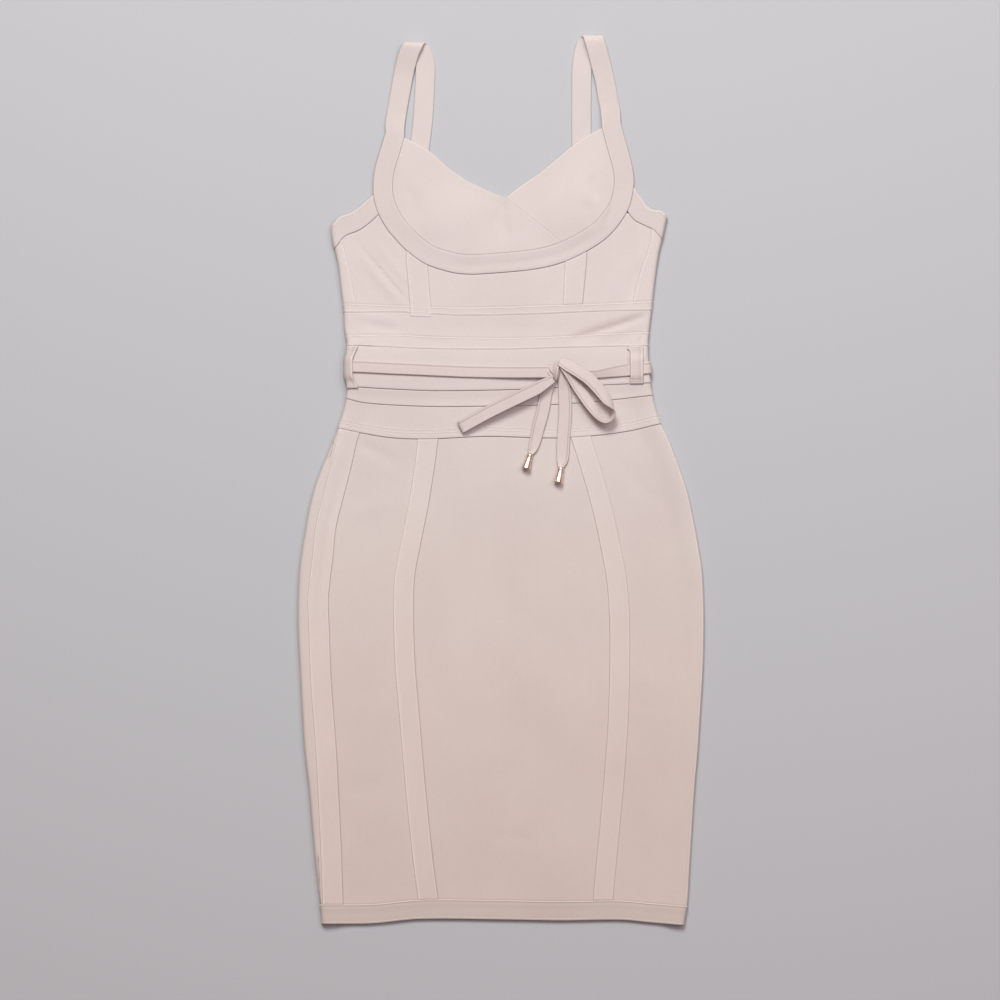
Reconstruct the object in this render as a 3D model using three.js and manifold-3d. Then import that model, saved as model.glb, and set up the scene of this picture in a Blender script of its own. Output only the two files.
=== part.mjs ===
import * as THREE from "three";
import Module from "manifold-3d";

// A bodycon dress of fine bandage knit, laid flat on its back, its belt tied in a half bow.
// Millimetres. x runs across the dress, y from hem to straps, z up from the surface it lies on.
// The origin is on that surface, under the middle of the dress.

// Cloth and seams
const CLOTH = 1.6;
const SEAM_GAP = 0.3;
const LAY_GAP = 0.6;
const BAND_WIDTH = 20;
const SIDE_BAND_WIDTH = 20.3;
const HEM_DEPTH = 19.5;
const STRAP_WIDTH = 19.5;
const STRAP_THICK = 2.2;

// Side folds: the outer radius, how far in a fold holds the front up, and how far pieces run onto the back
const FOLD_RADIUS = 3.6;
const ROLL_WIDTH = 26;
const BACK_LAP = 20;
const SIDE_SEAM_RUN = 3.2;
const FOLD_LENGTH = Math.PI * FOLD_RADIUS;

// Belt: it also runs under the back, which it lifts
const BELT_WIDTH = 12;
const BELT_THICK = 2;
const BELT_LIFT = 2.4;
const BELT_Y = 113;
const BELT_CLEAR = 0.4;
const BELT_CLEAR_FRONT = 0.6;
const BELT_LIFT_NEAR = 7;
const BELT_LIFT_FAR = 23;
const BELT_KNOT_END = 51.5;
const BOW_THICK = 1.4;
const CARRIER_THICK = 1.2;
const CARRIER_SEAT = 0.9;
const CARRIER_BRIDGE = 3;
const KNOT_DETAIL = 3;

// Heights: the back ends under the bust, the side folds open out towards the armholes
const UNDERARM_Y = 262;
const NECK_Y = 300;
const BACK_TOP_Y = 235;
const STRAP_FOOT_Y = 258;
const NO_BACK_SINK = 1.1;

// The stretch of the front, left and right, that lies over a strap behind it
const STRAP_BEHIND = { start: 38, full: 60, wane: 98, end: 114 };

// How far from the middle the cross seams turn level along the back
const BACK_LEVEL = 120;

// How far the pieces stand out from the plain cloth
const BAND_RISE = 0.6;
const PANEL_BAND_RISE = 0.5;
const SIDE_PANEL_RISE = 0.3;
const SKIRT_BAND_RISE = 0.7;
const TUCK_RISE = 0.7;
const CUP_LAP_RISE = 0.4;
const THIN_RISE = 0.1;

const KNIT = { color: 0xe0d2cb, roughness: 0.85, metalness: 0 };
const KNIT_SHADE = { color: 0xd6c5bb, roughness: 0.88, metalness: 0 };
const ROSE_GOLD = { color: 0xc98f6f, roughness: 0.25, metalness: 1 };

const table = (columns, rows) => ({ columns: columns.split(" "), rows });

// The two side edges of the outline
const SIDE_EDGES = table("y left right", [
  [-445, -179, 183],
  [-424, -181, 186.4],
  [-370, -186.8, 189.7],
  [-310, -192, 193.6],
  [-270, -196.5, 197],
  [-235, -198.7, 199.2],
  [-190, -201, 202],
  [-150, -203, 203],
  [-120, -203, 202.7],
  [-90, -201.5, 201],
  [-70, -199, 198],
  [-50, -195.5, 194.5],
  [-30, -192, 190.5],
  [-10, -187, 186],
  [10, -180, 179.3],
  [24, -174, 174],
  [40, -168, 168],
  [56, -161.8, 160],
  [72, -157, 155],
  [88, -154.2, 151],
  [112, -154, 148],
  [136, -154, 147],
  [150, -156.5, 148.3],
  [170, -157.5, 150.7],
  [190, -160, 152.7],
  [212, -162.5, 155.5],
  [228, -165.7, 158],
  [236, -168, 160],
  [246, -169.5, 162.3],
  [264, -169.5, 166],
]);

// Cross seams of the front, from the bust down to the hem
const UNDERBUST_TOP = table("x y", [
  [-155, 176.6], [-100, 174.5], [-35, 172.7], [40, 174.7], [110, 177], [150, 179],
]);
const UNDERBUST_BOTTOM = table("x y", [
  [-155, 167.5], [-100, 167.8], [-40, 164.6], [40, 166.2], [100, 168.8], [150, 169.7],
]);
const MIDRIFF_BOTTOM = table("x y", [
  [-153, 144.5], [-112, 145.6], [-62, 143.3], [7, 142.2], [49, 143.3], [90, 145.6], [115, 146.8], [149, 148],
]);
const TAPE_BOTTOM = table("x y", [
  [-144, 134.2], [-112, 133], [-78, 131.4], [-34, 130.7], [7, 130.7], [49, 132], [94, 133], [139, 134],
]);
const TUCK_ONE = table("x y", [
  [-155, 93.6], [-115, 91.2], [-65, 89.3], [15, 90.5], [100, 94.8], [150, 97],
]);
const TUCK_TWO = table("x y", [
  [-155, 81.5], [-135, 77], [-76, 73.7], [-20, 73.8], [55, 75.6], [114, 80.5], [150, 84.5],
]);
const WAIST_SEAM = table("x y", [
  [-163, 52], [-141, 47.3], [-110, 42.3], [-75, 41], [-13, 43.6], [50, 42], [95, 44.5], [130, 49.4], [158, 56],
]);
const HEM_SEAM = table("x y", [
  [-180, -424], [-130, -424], [-81, -419.5], [0, -420], [60, -421], [120, -420.3], [150, -423], [184, -425.5],
]);

// Long seams: the skirt's side band and the middles of its two curved bands
const SIDE_BAND_INNER = table("y x", [
  [-422.3, -157.9], [-371.3, -159.6], [-338, -161.2], [-271.7, -164.6], [-205.4, -169.5], [-145.7, -171.9],
  [-120, -172.7], [-102.9, -171.2], [-77.3, -168.1], [-47.8, -165.1], [-26.3, -160], [-2.9, -153.9],
  [22.7, -147.7], [40, -143.7], [46.7, -141.3],
]);
const SKIRT_BANDS = table("y left right", [
  [-418, -73.1, 102.2], [-380, -78, 105.6], [-338, -82.6, 109.7], [-288, -87.3, 114], [-238, -91.5, 117.3],
  [-189, -95.6, 118.6], [-139, -97.5, 118.5], [-99, -96.6, 115.5], [-66, -90.8, 109.4], [-26, -82.8, 100.5],
  [14, -76.4, 89], [42, -72.8, 80],
]);
const BODICE_BANDS = table("y left right left_width right_width", [
  [172, -80.3, 71.6, 21, 19.2],
  [220, -84.5, 75, 21, 21.7],
]);
const BODICE_SIDES = table("y left right", [
  [178, -145.5, 131.6], [197, -149, 136.3], [211, -151.5, 140.2], [223, -154.5, 144.3], [239, -159, 150],
]);

// Armhole bands: seam below and free edge above, across running on round the side fold
const ARMHOLE_SEAM_LEFT = table("across y", [
  [-168.7, 229.5], [-163, 234.9], [-159.2, 240.6], [-155, 244.4], [-142.7, 249.4], [-133.6, 255.5],
  [-122.5, 265.5],
]);
const ARMHOLE_EDGE_LEFT = table("across y", [
  [-171.5, 254], [-166.5, 257.8], [-161.9, 262.8], [-150.4, 267.4], [-142.7, 272.3], [-134, 280],
  [-127.7, 285.5],
]);
const ARMHOLE_SEAM_RIGHT = table("across y", [
  [125.6, 269.7], [132.8, 260.4], [141.7, 255.4], [150.6, 251], [155, 248], [158.5, 243.6], [163.3, 239],
]);
const ARMHOLE_EDGE_RIGHT = table("across y", [
  [132.3, 294.2], [140.6, 281.4], [149.6, 271.2], [159.8, 269.3], [166.1, 264.8], [169, 264],
]);

// Upper edge of the back, low between the straps
const BACK_TOP = table("x y", [
  [-140, 232], [-118, 244], [-99, 260.4], [-86.5, 262], [-74, 260.4], [-40, 246], [0, 238], [40, 246],
  [71, 260.4], [84, 262], [97, 260.4], [115, 250], [133, 240],
]);

// Middle line of the band that runs round the cups, and the two halves of the neckline
const BUST_LINE = table("x y", [
  [-106.2, 345.1], [-110.7, 330], [-115, 316], [-117.4, 305], [-118.2, 291], [-117, 281], [-113.5, 270],
  [-105.8, 256.4], [-97.2, 246.2], [-89.3, 237.9], [-79.7, 230.2], [-69.7, 224], [-58, 220], [-44.2, 216.5],
  [-30, 215.4], [-16.5, 216], [18.5, 218.8], [37.5, 221.4], [50, 224.2], [60.8, 227.7], [70.6, 232],
  [81.7, 237.7], [95.5, 246.5], [103.5, 253.6], [111.2, 263], [116.8, 271.8], [120.3, 280], [123, 295],
  [123, 304], [120.7, 317], [115.9, 334.2], [110.5, 354.5],
]);
const NECK_LEFT = table("x y", [
  [-89, 338.5], [-70, 327.5], [-51, 311], [-35, 300], [-19, 292], [-3, 285], [4.5, 282.5],
]);
const NECK_RIGHT = table("x y", [
  [4.5, 282.5], [21, 295], [37, 306], [53, 319], [71.8, 334.4], [90, 346.5],
]);
const CUP_LAP_END = { x: 60, y: 238.5 };

// Where along the strip each cup's grid turns its outer corner, as a share of the strip's length
const CUP_CORNER = { left: 0.24, right: 0.79 };

// The part of the strip's outer edge that the armhole bands meet
const ARMHOLE_REACH = { nearest: 110, low: 245, high: 310 };

// Straps: middle of the strip from the bust band up, over and down to the back; turn is its width's direction
const STRAP_LEFT = table("x y z turn", [
  [-106, 356, 2, -7], [-102.1, 380, 1.8, -9], [-97.7, 404, 2.6, -12], [-95, 416, 4.2, -14],
  [-91.7, 427, 6.2, -14], [-88, 434.5, 6.9, -8], [-86, 436.9, 4.2, 0], [-83.5, 435, 1.5, 8],
  [-79.5, 428, 1.1, 14], [-76, 415, 1.1, 6], [-76, 399, 1.1, -1], [-77, 378, 1.1, -3], [-78.4, 358, 1.1, -4],
  [-80.5, 340, 1.1, -5], [-84, 310, 1.1, -4], [-86, 275, 1.1, -2], [-86.5, 262.4, 1.1, 0],
]);
const STRAP_RIGHT = table("x y z turn", [
  [109.6, 368, 1.9, 8], [106.7, 383.5, 1.8, 10], [104.2, 398, 2.4, 12], [99.9, 415.4, 4.2, 14],
  [96, 430, 6.4, 13], [93, 440, 6.9, 6], [91.3, 443.9, 4.2, 0], [88.5, 441, 1.5, -10], [84.5, 433, 1.1, -14],
  [81.3, 415, 1.1, -5], [80.6, 390, 1.1, 0], [80.5, 348, 1.1, 0], [81.5, 310, 1.1, 0], [84, 262.4, 1.1, 0],
]);

// Belt in front: its middle from the left side to the knot, and the turned stretch from the right carrier
const BELT_LINE = table("across y", [
  [-165, 113], [-145, 113.5], [-112, 112], [-78, 110.5], [-34, 108.6], [7, 107.9], [45, 108], [52, 108],
]);
const BELT_LINE_RIGHT = table("across y", [[134, 110.8], [148, 112.2], [156, 113]]);
const BELT_TURNED = table("x y lift turn tilt wide", [
  [134.4, 110.8, 1.7, 91, 0, 12], [122, 109.2, 1.8, 96, 4, 11.6], [108, 107.2, 2.1, 98, 14, 9.6],
  [95, 105.7, 1.7, 94, 8, 7.4], [78, 106.6, 1.5, 88, 5, 6], [62, 108.2, 1.5, 84, 5, 5.2],
]);

// Knot, loops and tails: middles of the ribbons, with the direction of their width and its slope
const KNOT = { x: 55.5, y: 107, z: 11.8, across: 5.2, along: 9, high: 4.9 };
const LOOP_LEFT = table("x y z turn tilt wide", [
  [52, 101, 13.2, 117, 0, 8], [42, 95, 12.6, 117, 0, 11], [35, 91, 11.3, 117, 0, 12.5],
  [15.5, 81.5, 10.8, 117, 0, 12.5], [-12, 68, 10, 117, 0, 12.5], [-38, 53.8, 9.6, 117, 0, 12.5],
  [-40.5, 52.5, 8.2, 117, 0, 12.5], [-38, 53.8, 6.8, 117, 0, 12.5], [-12, 68, 7, 117, 0, 12.5],
  [15.5, 81.5, 7.2, 117, 0, 12.5], [35, 91, 8.6, 117, 0, 12], [42, 95, 10.2, 117, 0, 9],
  [50, 99.5, 11, 117, 0, 7],
]);
const LOOP_RIGHT = table("x y z turn tilt wide", [
  [58.5, 118, 14, 240, 20, 9], [67, 114, 13.5, 237, 15, 12], [76, 109, 12.8, 232, 12, 12.5],
  [88, 100.5, 11.6, 228, 12, 12.5], [99.5, 88.5, 11, 222, 15, 12.5], [107.5, 77, 10.8, 215, 40, 12.5],
  [112.2, 68, 11.6, 212, 75, 12.5], [110.5, 60.5, 11.6, 215, 88, 12.5], [104, 57.7, 11.6, 220, 88, 12.5],
  [96.5, 61.5, 11.4, 215, 75, 12.5], [89, 71, 10.6, 212, 55, 12.5], [82, 81.5, 10.2, 211, 48, 12.5],
  [74, 94, 10.4, 211, 45, 12], [65, 106.5, 12.8, 213, 36, 8],
]);
const TAIL_LEFT = table("x y z turn tilt wide", [
  [51, 98, 8.2, -24, 0, 8], [46, 88, 6.5, -22, 0, 11], [44.5, 84, 6.1, -16, 0, 12.5],
  [42, 70, 5.9, -13, 0, 12.5], [37.5, 55, 6.1, -16, 0, 12.5], [33.3, 40, 5.7, -16, 0, 10],
  [29.4, 26.4, 6.9, -17, 0, 5],
]);
const TAIL_RIGHT = table("x y z turn tilt wide", [
  [61.5, 100, 9.6, 12, 0, 8], [63.5, 95, 7.8, 8, 0, 9], [64, 89, 6.6, 3, 0, 11.5], [64.3, 69, 5.9, -1, 0, 13],
  [62.6, 43, 5.7, -4, 0, 13], [61.2, 25, 5.6, -5, 0, 9], [60, 12.9, 6.9, -7, 0, 5.2],
]);

// Metal cord ends: a lathe profile from the throat to the flared lip
const CORD_END_PROFILE = table("along radius", [
  [0, 0], [0, 2.6], [1.2, 3.1], [3.2, 2.7], [7, 2.9], [11, 3.5], [14, 4.3], [15.5, 4.4], [15.5, 3.7],
  [13, 3.1], [13, 0],
]);
const CORD_ENDS = [
  { name: "cord_end_left", throat: [29.3, 26, 7.2], lip: [24.5, 10.5, 8.6] },
  { name: "cord_end_right", throat: [60, 12.5, 7.2], lip: [57, -2, 8.6] },
];

const part = new THREE.Group();
const wasm = await Module();
wasm.setup();

const clamp = (value, low, high) => Math.min(Math.max(value, low), high);
const lerp = (from, to, t) => from + (to - from) * t;
const radians = (degrees) => (degrees * Math.PI) / 180;

function smooth(value, low, high) {
  const t = clamp((value - low) / (high - low), 0, 1);
  return t * t * (3 - 2 * t);
}

// Evenly spaced fractions from 0 to 1, and values from one number to another
const fractions = (count) => Array.from({ length: count + 1 }, (_, i) => i / count);
const spread = (from, to, count) => fractions(count).map((t) => lerp(from, to, t));

// Slopes of a table's column, taken across each row's two neighbours
function slopesOf(at, value) {
  return at.map((_, i) => {
    const before = Math.max(i - 1, 0);
    const after = Math.min(i + 1, at.length - 1);
    return (value[after] - value[before]) / (at[after] - at[before]);
  });
}

// A smooth curve through two columns of a table, held level past both ends
function curve(source, from, to) {
  const at = source.rows.map((row) => row[source.columns.indexOf(from)]);
  const value = source.rows.map((row) => row[source.columns.indexOf(to)]);
  return hermite(at, value);
}

function hermite(at, value) {
  const slope = slopesOf(at, value);
  const last = at.length - 1;
  return (v) => {
    if (v <= at[0]) return value[0];
    if (v >= at[last]) return value[last];
    let i = 0;
    while (at[i + 1] < v) i += 1;
    const span = at[i + 1] - at[i];
    const t = (v - at[i]) / span;
    const rest = 1 - t;
    const start = rest * rest * ((1 + 2 * t) * value[i] + t * span * slope[i]);
    const end = t * t * ((3 - 2 * t) * value[i + 1] - rest * span * slope[i + 1]);
    return start + end;
  };
}

// A path through a table of places: every column as a smooth function of the distance along it
function track(source) {
  const column = (name) => source.rows.map((row) => row[source.columns.indexOf(name)] ?? 0);
  const places = source.rows.map((_, i) => new THREE.Vector3(column("x")[i], column("y")[i], column("z")[i]));
  const distance = [0];
  for (let i = 1; i < places.length; i += 1) {
    distance.push(distance[i - 1] + places[i].distanceTo(places[i - 1]));
  }
  const curves = source.columns.map((name) => hermite(distance, column(name)));
  const at = (d) => Object.fromEntries(source.columns.map((name, i) => [name, curves[i](d)]));
  return { distance, length: distance.at(-1), at };
}

const leftEdge = curve(SIDE_EDGES, "y", "left");
const rightEdge = curve(SIDE_EDGES, "y", "right");

// How far the belt under the back lifts the dress
const backLift = (y) => BELT_LIFT * (1 - smooth(Math.abs(y - BELT_Y), BELT_LIFT_NEAR, BELT_LIFT_FAR));

// Top of the plain front: it lies on the back, or on the straps behind it, and rises to the side folds
function frontTop(x, y) {
  const lift = backLift(y);
  const { start, full, wane, end } = STRAP_BEHIND;
  const overStrap = smooth(Math.abs(x), start, full) * (1 - smooth(Math.abs(x), wane, end));
  const strap = (STRAP_THICK - CLOTH) * smooth(y, BACK_TOP_Y, STRAP_FOOT_Y) * overStrap;
  const sunk = NO_BACK_SINK * smooth(y, UNDERARM_Y, NECK_Y) * (1 - overStrap);
  const middle = lift + CLOTH + strap - sunk + LAY_GAP + CLOTH;
  const inward = Math.min(x - leftEdge(y), rightEdge(y) - x) - FOLD_RADIUS;
  const roll = (1 + Math.cos(Math.PI * clamp(inward / ROLL_WIDTH, 0, 1))) / 2;
  const crest = lift + 2 * FOLD_RADIUS;
  return middle + (crest - middle) * roll * (1 - smooth(y, UNDERARM_Y, NECK_Y));
}

// Where a run that starts at the top of a side fold has got to, measured like x
const leftRun = (y, run) => leftEdge(y) + FOLD_RADIUS - run;
const rightRun = (y, run) => rightEdge(y) - FOLD_RADIUS + run;

// The same measure for a place on the back, reached round the left fold
const backRun = (y, x) => leftRun(y, FOLD_LENGTH + x - leftRun(y, 0));

// How far round a side fold a place is, from 0 on the front to pi on the back
function foldTurn(y, across) {
  const run = Math.max(leftRun(y, 0) - across, across - rightRun(y, 0), 0);
  return Math.min(run / FOLD_RADIUS, Math.PI);
}

// A point of the dress: out is its distance outside the plain cloth's outer face
function skin(y, across, out) {
  const left = leftRun(y, 0);
  const right = rightRun(y, 0);
  if (across >= left && across <= right) {
    return new THREE.Vector3(across, y, frontTop(across, y) + out);
  }
  const side = across < left ? -1 : 1;
  const fold = side < 0 ? left : right;
  const turn = foldTurn(y, across);
  const rest = Math.max(Math.abs(across - fold) - FOLD_LENGTH, 0);
  const radius = FOLD_RADIUS + out;
  const x = fold + side * (radius * Math.sin(turn) - rest);
  return new THREE.Vector3(x, y, backLift(y) + FOLD_RADIUS + radius * Math.cos(turn));
}

// A cross seam all round: level round the folds, and eased from side to side along the back
function allRound(seam) {
  return (across, y) => {
    const x = leftRun(y, 0) + (leftRun(y, FOLD_LENGTH) - across);
    if (across > leftRun(y, FOLD_LENGTH)) return seam(across);
    return lerp(seam(-Infinity), seam(Infinity), smooth(x, -BACK_LEVEL, BACK_LEVEL));
  };
}

// A closed wall between two grids of points: rows run upwards, columns round the outside
function wall(outer, inner, ring = false) {
  const rows = outer.length;
  const columns = outer[0].length;
  const points = [...outer.flat(), ...inner.flat()];
  const index = [];
  const number = (side, j, i) => side * rows * columns + j * columns + (i % columns);
  const quad = (a, b, c, d) => index.push(a, b, c, a, c, d);
  const rim = (j0, i0, j1, i1) => {
    quad(number(0, j1, i1), number(0, j0, i0), number(1, j0, i0), number(1, j1, i1));
  };
  const spans = ring ? columns : columns - 1;
  for (let j = 0; j < rows - 1; j += 1) {
    for (let i = 0; i < spans; i += 1) {
      quad(number(0, j, i), number(0, j, i + 1), number(0, j + 1, i + 1), number(0, j + 1, i));
      quad(number(1, j, i), number(1, j + 1, i), number(1, j + 1, i + 1), number(1, j, i + 1));
    }
  }
  for (let i = 0; i < spans; i += 1) {
    rim(0, i, 0, i + 1);
    rim(rows - 1, i + 1, rows - 1, i);
  }
  for (let j = 0; j < rows - 1 && !ring; j += 1) {
    rim(j, columns - 1, j + 1, columns - 1);
    rim(j + 1, 0, j, 0);
  }
  const geometry = new THREE.BufferGeometry();
  geometry.setAttribute("position", new THREE.Float32BufferAttribute(points.flatMap((p) => p.toArray()), 3));
  geometry.setIndex(index);
  geometry.computeVertexNormals();
  return geometry;
}

function add(name, geometry, look = KNIT) {
  const mesh = new THREE.Mesh(geometry, new THREE.MeshStandardMaterial(look));
  mesh.name = name;
  part.add(mesh);
  return mesh;
}

// A panel between two cross lines, its columns at stations that depend on the height
function panel({ stations, bottom, top, levels, rise = () => 0, low, high, ring = false }) {
  const count = stations(0).length;
  const solve = (level, i) => {
    let y = lerp(bottom(0, 0), top(0, 0), level);
    let across = 0;
    for (let round = 0; round < 8; round += 1) {
      across = stations(y)[i];
      y = lerp(bottom(across, y) + SEAM_GAP / 2, top(across, y) - SEAM_GAP / 2, level);
    }
    return { y, across };
  };
  const grid = levels.map((level) => Array.from({ length: count }, (_, i) => ({ level, ...solve(level, i) })));
  const raised = ({ y, across, level }) => (rise(level, y, across) * (1 + Math.cos(foldTurn(y, across)))) / 2;
  const outer = (p) => skin(p.y, p.across, high ? high(p.y, p.across) : raised(p));
  const inner = (p) => skin(p.y, p.across, low ? low(p.y, p.across) : -CLOTH);
  return wall(grid.map((row) => row.map(outer)), grid.map((row) => row.map(inner)), ring);
}

// Stations round a side fold, from its top to the end of the lap on the back
const foldRuns = [...spread(0, FOLD_LENGTH, 6), FOLD_LENGTH + BACK_LAP - SEAM_GAP / 2];
const rollRuns = [-ROLL_WIDTH, -20, -14, -8, -3];
const leftWrap = (y) => foldRuns.map((run) => leftRun(y, run)).reverse();
const rightWrap = (y) => foldRuns.map((run) => rightRun(y, run));

// Stations of a piece that runs across the whole front and round both sides
function acrossFront(y) {
  const left = rollRuns.map((run) => leftRun(y, run)).reverse();
  const right = rollRuns.map((run) => rightRun(y, run));
  const middle = spread(leftRun(y, -ROLL_WIDTH), rightRun(y, -ROLL_WIDTH), 16).slice(1, -1);
  return [...leftWrap(y), ...left, ...middle, ...right, ...rightWrap(y)];
}

// Cross seams as curves
const underbustTop = curve(UNDERBUST_TOP, "x", "y");
const underbustBottom = curve(UNDERBUST_BOTTOM, "x", "y");
const midriffBottom = curve(MIDRIFF_BOTTOM, "x", "y");
const tapeBottom = curve(TAPE_BOTTOM, "x", "y");
const tuckOne = curve(TUCK_ONE, "x", "y");
const tuckTwo = curve(TUCK_TWO, "x", "y");
const waistSeam = curve(WAIST_SEAM, "x", "y");
const hemSeam = curve(HEM_SEAM, "x", "y");

// The strip round the cups: a point at a distance along it and to the outside of its middle line
const bust = track(BUST_LINE);

function bustFrame(d) {
  const before = bust.at(d - 0.5);
  const after = bust.at(d + 0.5);
  const along = new THREE.Vector2(after.x - before.x, after.y - before.y).normalize();
  return { middle: bust.at(d), along, outward: new THREE.Vector2(along.y, -along.x) };
}

function bustPoint(d, out) {
  const { middle, outward } = bustFrame(d);
  return { x: middle.x + outward.x * out, y: middle.y + outward.y * out };
}

const bustSeam = STRAP_WIDTH / 2 + SEAM_GAP;
const bustOuter = spread(0, bust.length, 120).map((d) => bustPoint(d, bustSeam));

// The strip's outer edge as a height over x, and as an x over height on the side of each armhole
const leftmost = bustOuter.reduce((a, b) => (a.x < b.x ? a : b));
const rightmost = bustOuter.reduce((a, b) => (a.x > b.x ? a : b));
const bustUnder = bustOuter.slice(bustOuter.indexOf(leftmost), bustOuter.indexOf(rightmost) + 1);
const bustEdgeY = hermite(bustUnder.map((p) => p.x), bustUnder.map((p) => p.y));

function bustEdgeX(side) {
  const { nearest, low, high } = ARMHOLE_REACH;
  const points = bustOuter.filter((p) => p.x * side > nearest && p.y > low && p.y < high);
  points.sort((a, b) => a.y - b.y);
  return hermite(points.map((p) => p.y), points.map((p) => p.x));
}

// Bust band: one strip round both cups, on from the straps
function bustBand() {
  const offsets = spread(-STRAP_WIDTH / 2, STRAP_WIDTH / 2, 2);
  const rows = spread(0, bust.length, 48).map((d) => offsets.map((out) => bustPoint(d, out)));
  const face = (out) => rows.map((row) => row.map((p) => skin(p.y, p.x, out)));
  return wall(face(BAND_RISE), face(-CLOTH));
}

// The distance along the strip at which its inner seam comes nearest to a place
function nearestAlongBust(place) {
  const away = (d) => {
    const p = bustPoint(d, -bustSeam);
    return Math.hypot(p.x - place.x, p.y - place.y);
  };
  return spread(0, bust.length, 600).reduce((best, d) => (away(d) < away(best) ? d : best), 0);
}

// A cup between four edges, each a function of a fraction: blended from its opposite edges
function cup({ bottom, top, left, right, rise }) {
  const steps = fractions(11);
  const blend = (s, t, key) => {
    const sides = lerp(left(t)[key], right(t)[key], s) + lerp(bottom(s)[key], top(s)[key], t);
    const low = lerp(bottom(0)[key], bottom(1)[key], s);
    const high = lerp(top(0)[key], top(1)[key], s);
    return sides - lerp(low, high, t);
  };
  const place = (s, t, height) => skin(blend(s, t, "y"), blend(s, t, "x"), height(s));
  const face = (height) => steps.map((t) => steps.map((s) => place(s, t, height)));
  return wall(face(rise), face(() => -CLOTH));
}

function cups() {
  const lapEnd = nearestAlongBust(CUP_LAP_END);
  const foot = bustPoint(lapEnd, -bustSeam);
  const [valleyX, valleyY] = NECK_RIGHT.rows[0];
  const slant = new THREE.Vector2(foot.x - valleyX, foot.y - valleyY).normalize();
  const clear = (edge, side, weight) => (t) => {
    const p = edge(t);
    const aside = (side * weight(t) * SEAM_GAP) / 2;
    return { x: p.x + slant.y * aside, y: p.y - slant.x * aside };
  };
  const seam = (from, to) => (t) => bustPoint(lerp(from, to, t), -bustSeam);
  const lap = (t) => ({ x: lerp(foot.x, valleyX, t), y: lerp(foot.y, valleyY, t) });
  const neck = (rows) => {
    const line = track(table("x y", rows));
    return (t) => line.at(t * line.length);
  };
  const corner = (d) => [bustPoint(d, -bustSeam).x, bustPoint(d, -bustSeam).y];
  const rising = (t) => t;
  const falling = (t) => 1 - t;
  const full = () => 1;
  const turnLeft = bust.length * CUP_CORNER.left;
  const turnRight = bust.length * CUP_CORNER.right;
  add("cup_left", cup({
    bottom: clear(seam(turnLeft, lapEnd), 1, rising),
    top: clear(neck([corner(0), ...NECK_LEFT.rows]), 1, rising),
    left: seam(turnLeft, 0),
    right: clear(lap, 1, full),
    rise: (s) => THIN_RISE + CUP_LAP_RISE * s * s,
  }));
  add("cup_right", cup({
    bottom: clear(seam(lapEnd, turnRight), -1, falling),
    top: clear(neck([...NECK_RIGHT.rows, corner(bust.length)]), -1, falling),
    left: clear(lap, -1, full),
    right: seam(turnRight, bust.length),
    rise: () => 0,
  }));
}

// A ribbon along a path: turn and tilt give the direction of its width, thick its wall
function ribbon(path, { wide, thick, steps, columns = 2 }) {
  const line = track(path);
  const places = [];
  for (let i = 0; i < line.distance.length - 1; i += 1) {
    places.push(...spread(line.distance[i], line.distance[i + 1], steps).slice(0, -1));
  }
  places.push(line.length);
  const frames = places.map((d) => {
    const now = line.at(d);
    const before = line.at(Math.max(d - 0.4, 0));
    const after = line.at(Math.min(d + 0.4, line.length));
    const along = new THREE.Vector3(after.x - before.x, after.y - before.y, after.z - before.z);
    const turn = radians(now.turn);
    const tilt = radians(now.tilt ?? 0);
    const width = new THREE.Vector3(
      Math.cos(turn) * Math.cos(tilt),
      Math.sin(turn) * Math.cos(tilt),
      Math.sin(tilt),
    );
    const normal = width.clone().cross(along).normalize();
    return { middle: new THREE.Vector3(now.x, now.y, now.z), width, normal, wide: now.wide ?? wide };
  });
  const face = (side) => frames.map((f) => spread(-0.5, 0.5, columns).map((w) => {
    return f.middle.clone().addScaledVector(f.width, w * f.wide).addScaledVector(f.normal, (side * thick) / 2);
  }));
  return wall(face(1), face(-1));
}

// A strap begins a seam's gap beyond the end of the bust band, square to it
function strap(source, d, side) {
  const { middle, along } = bustFrame(d);
  const x = middle.x + along.x * SEAM_GAP * side;
  const y = middle.y + along.y * SEAM_GAP * side;
  const turn = (Math.atan2(-along.x * side, along.y * side) * 180) / Math.PI;
  const z = skin(y, x, (BAND_RISE - CLOTH) / 2).z;
  const path = table("x y z turn", [[x, y, z, turn], ...source.rows]);
  return ribbon(path, { wide: STRAP_WIDTH, thick: STRAP_THICK, steps: 2 });
}

// Solid arithmetic, to cut a ribbon clear of the knot
function solid(geometry) {
  const position = geometry.getAttribute("position");
  const mesh = { numProp: 3, vertProperties: position.array, triVerts: new Uint32Array(geometry.index.array) };
  return new wasm.Manifold(new wasm.Mesh(mesh));
}

function clearOf(geometry, cutter) {
  const left = solid(geometry).subtract(cutter);
  const largest = left.decompose().reduce((a, b) => (a.volume() > b.volume() ? a : b));
  const mesh = largest.getMesh();
  const cut = new THREE.BufferGeometry();
  cut.setAttribute("position", new THREE.BufferAttribute(mesh.vertProperties, mesh.numProp));
  cut.setIndex(new THREE.BufferAttribute(mesh.triVerts, 1));
  return cut;
}

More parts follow.
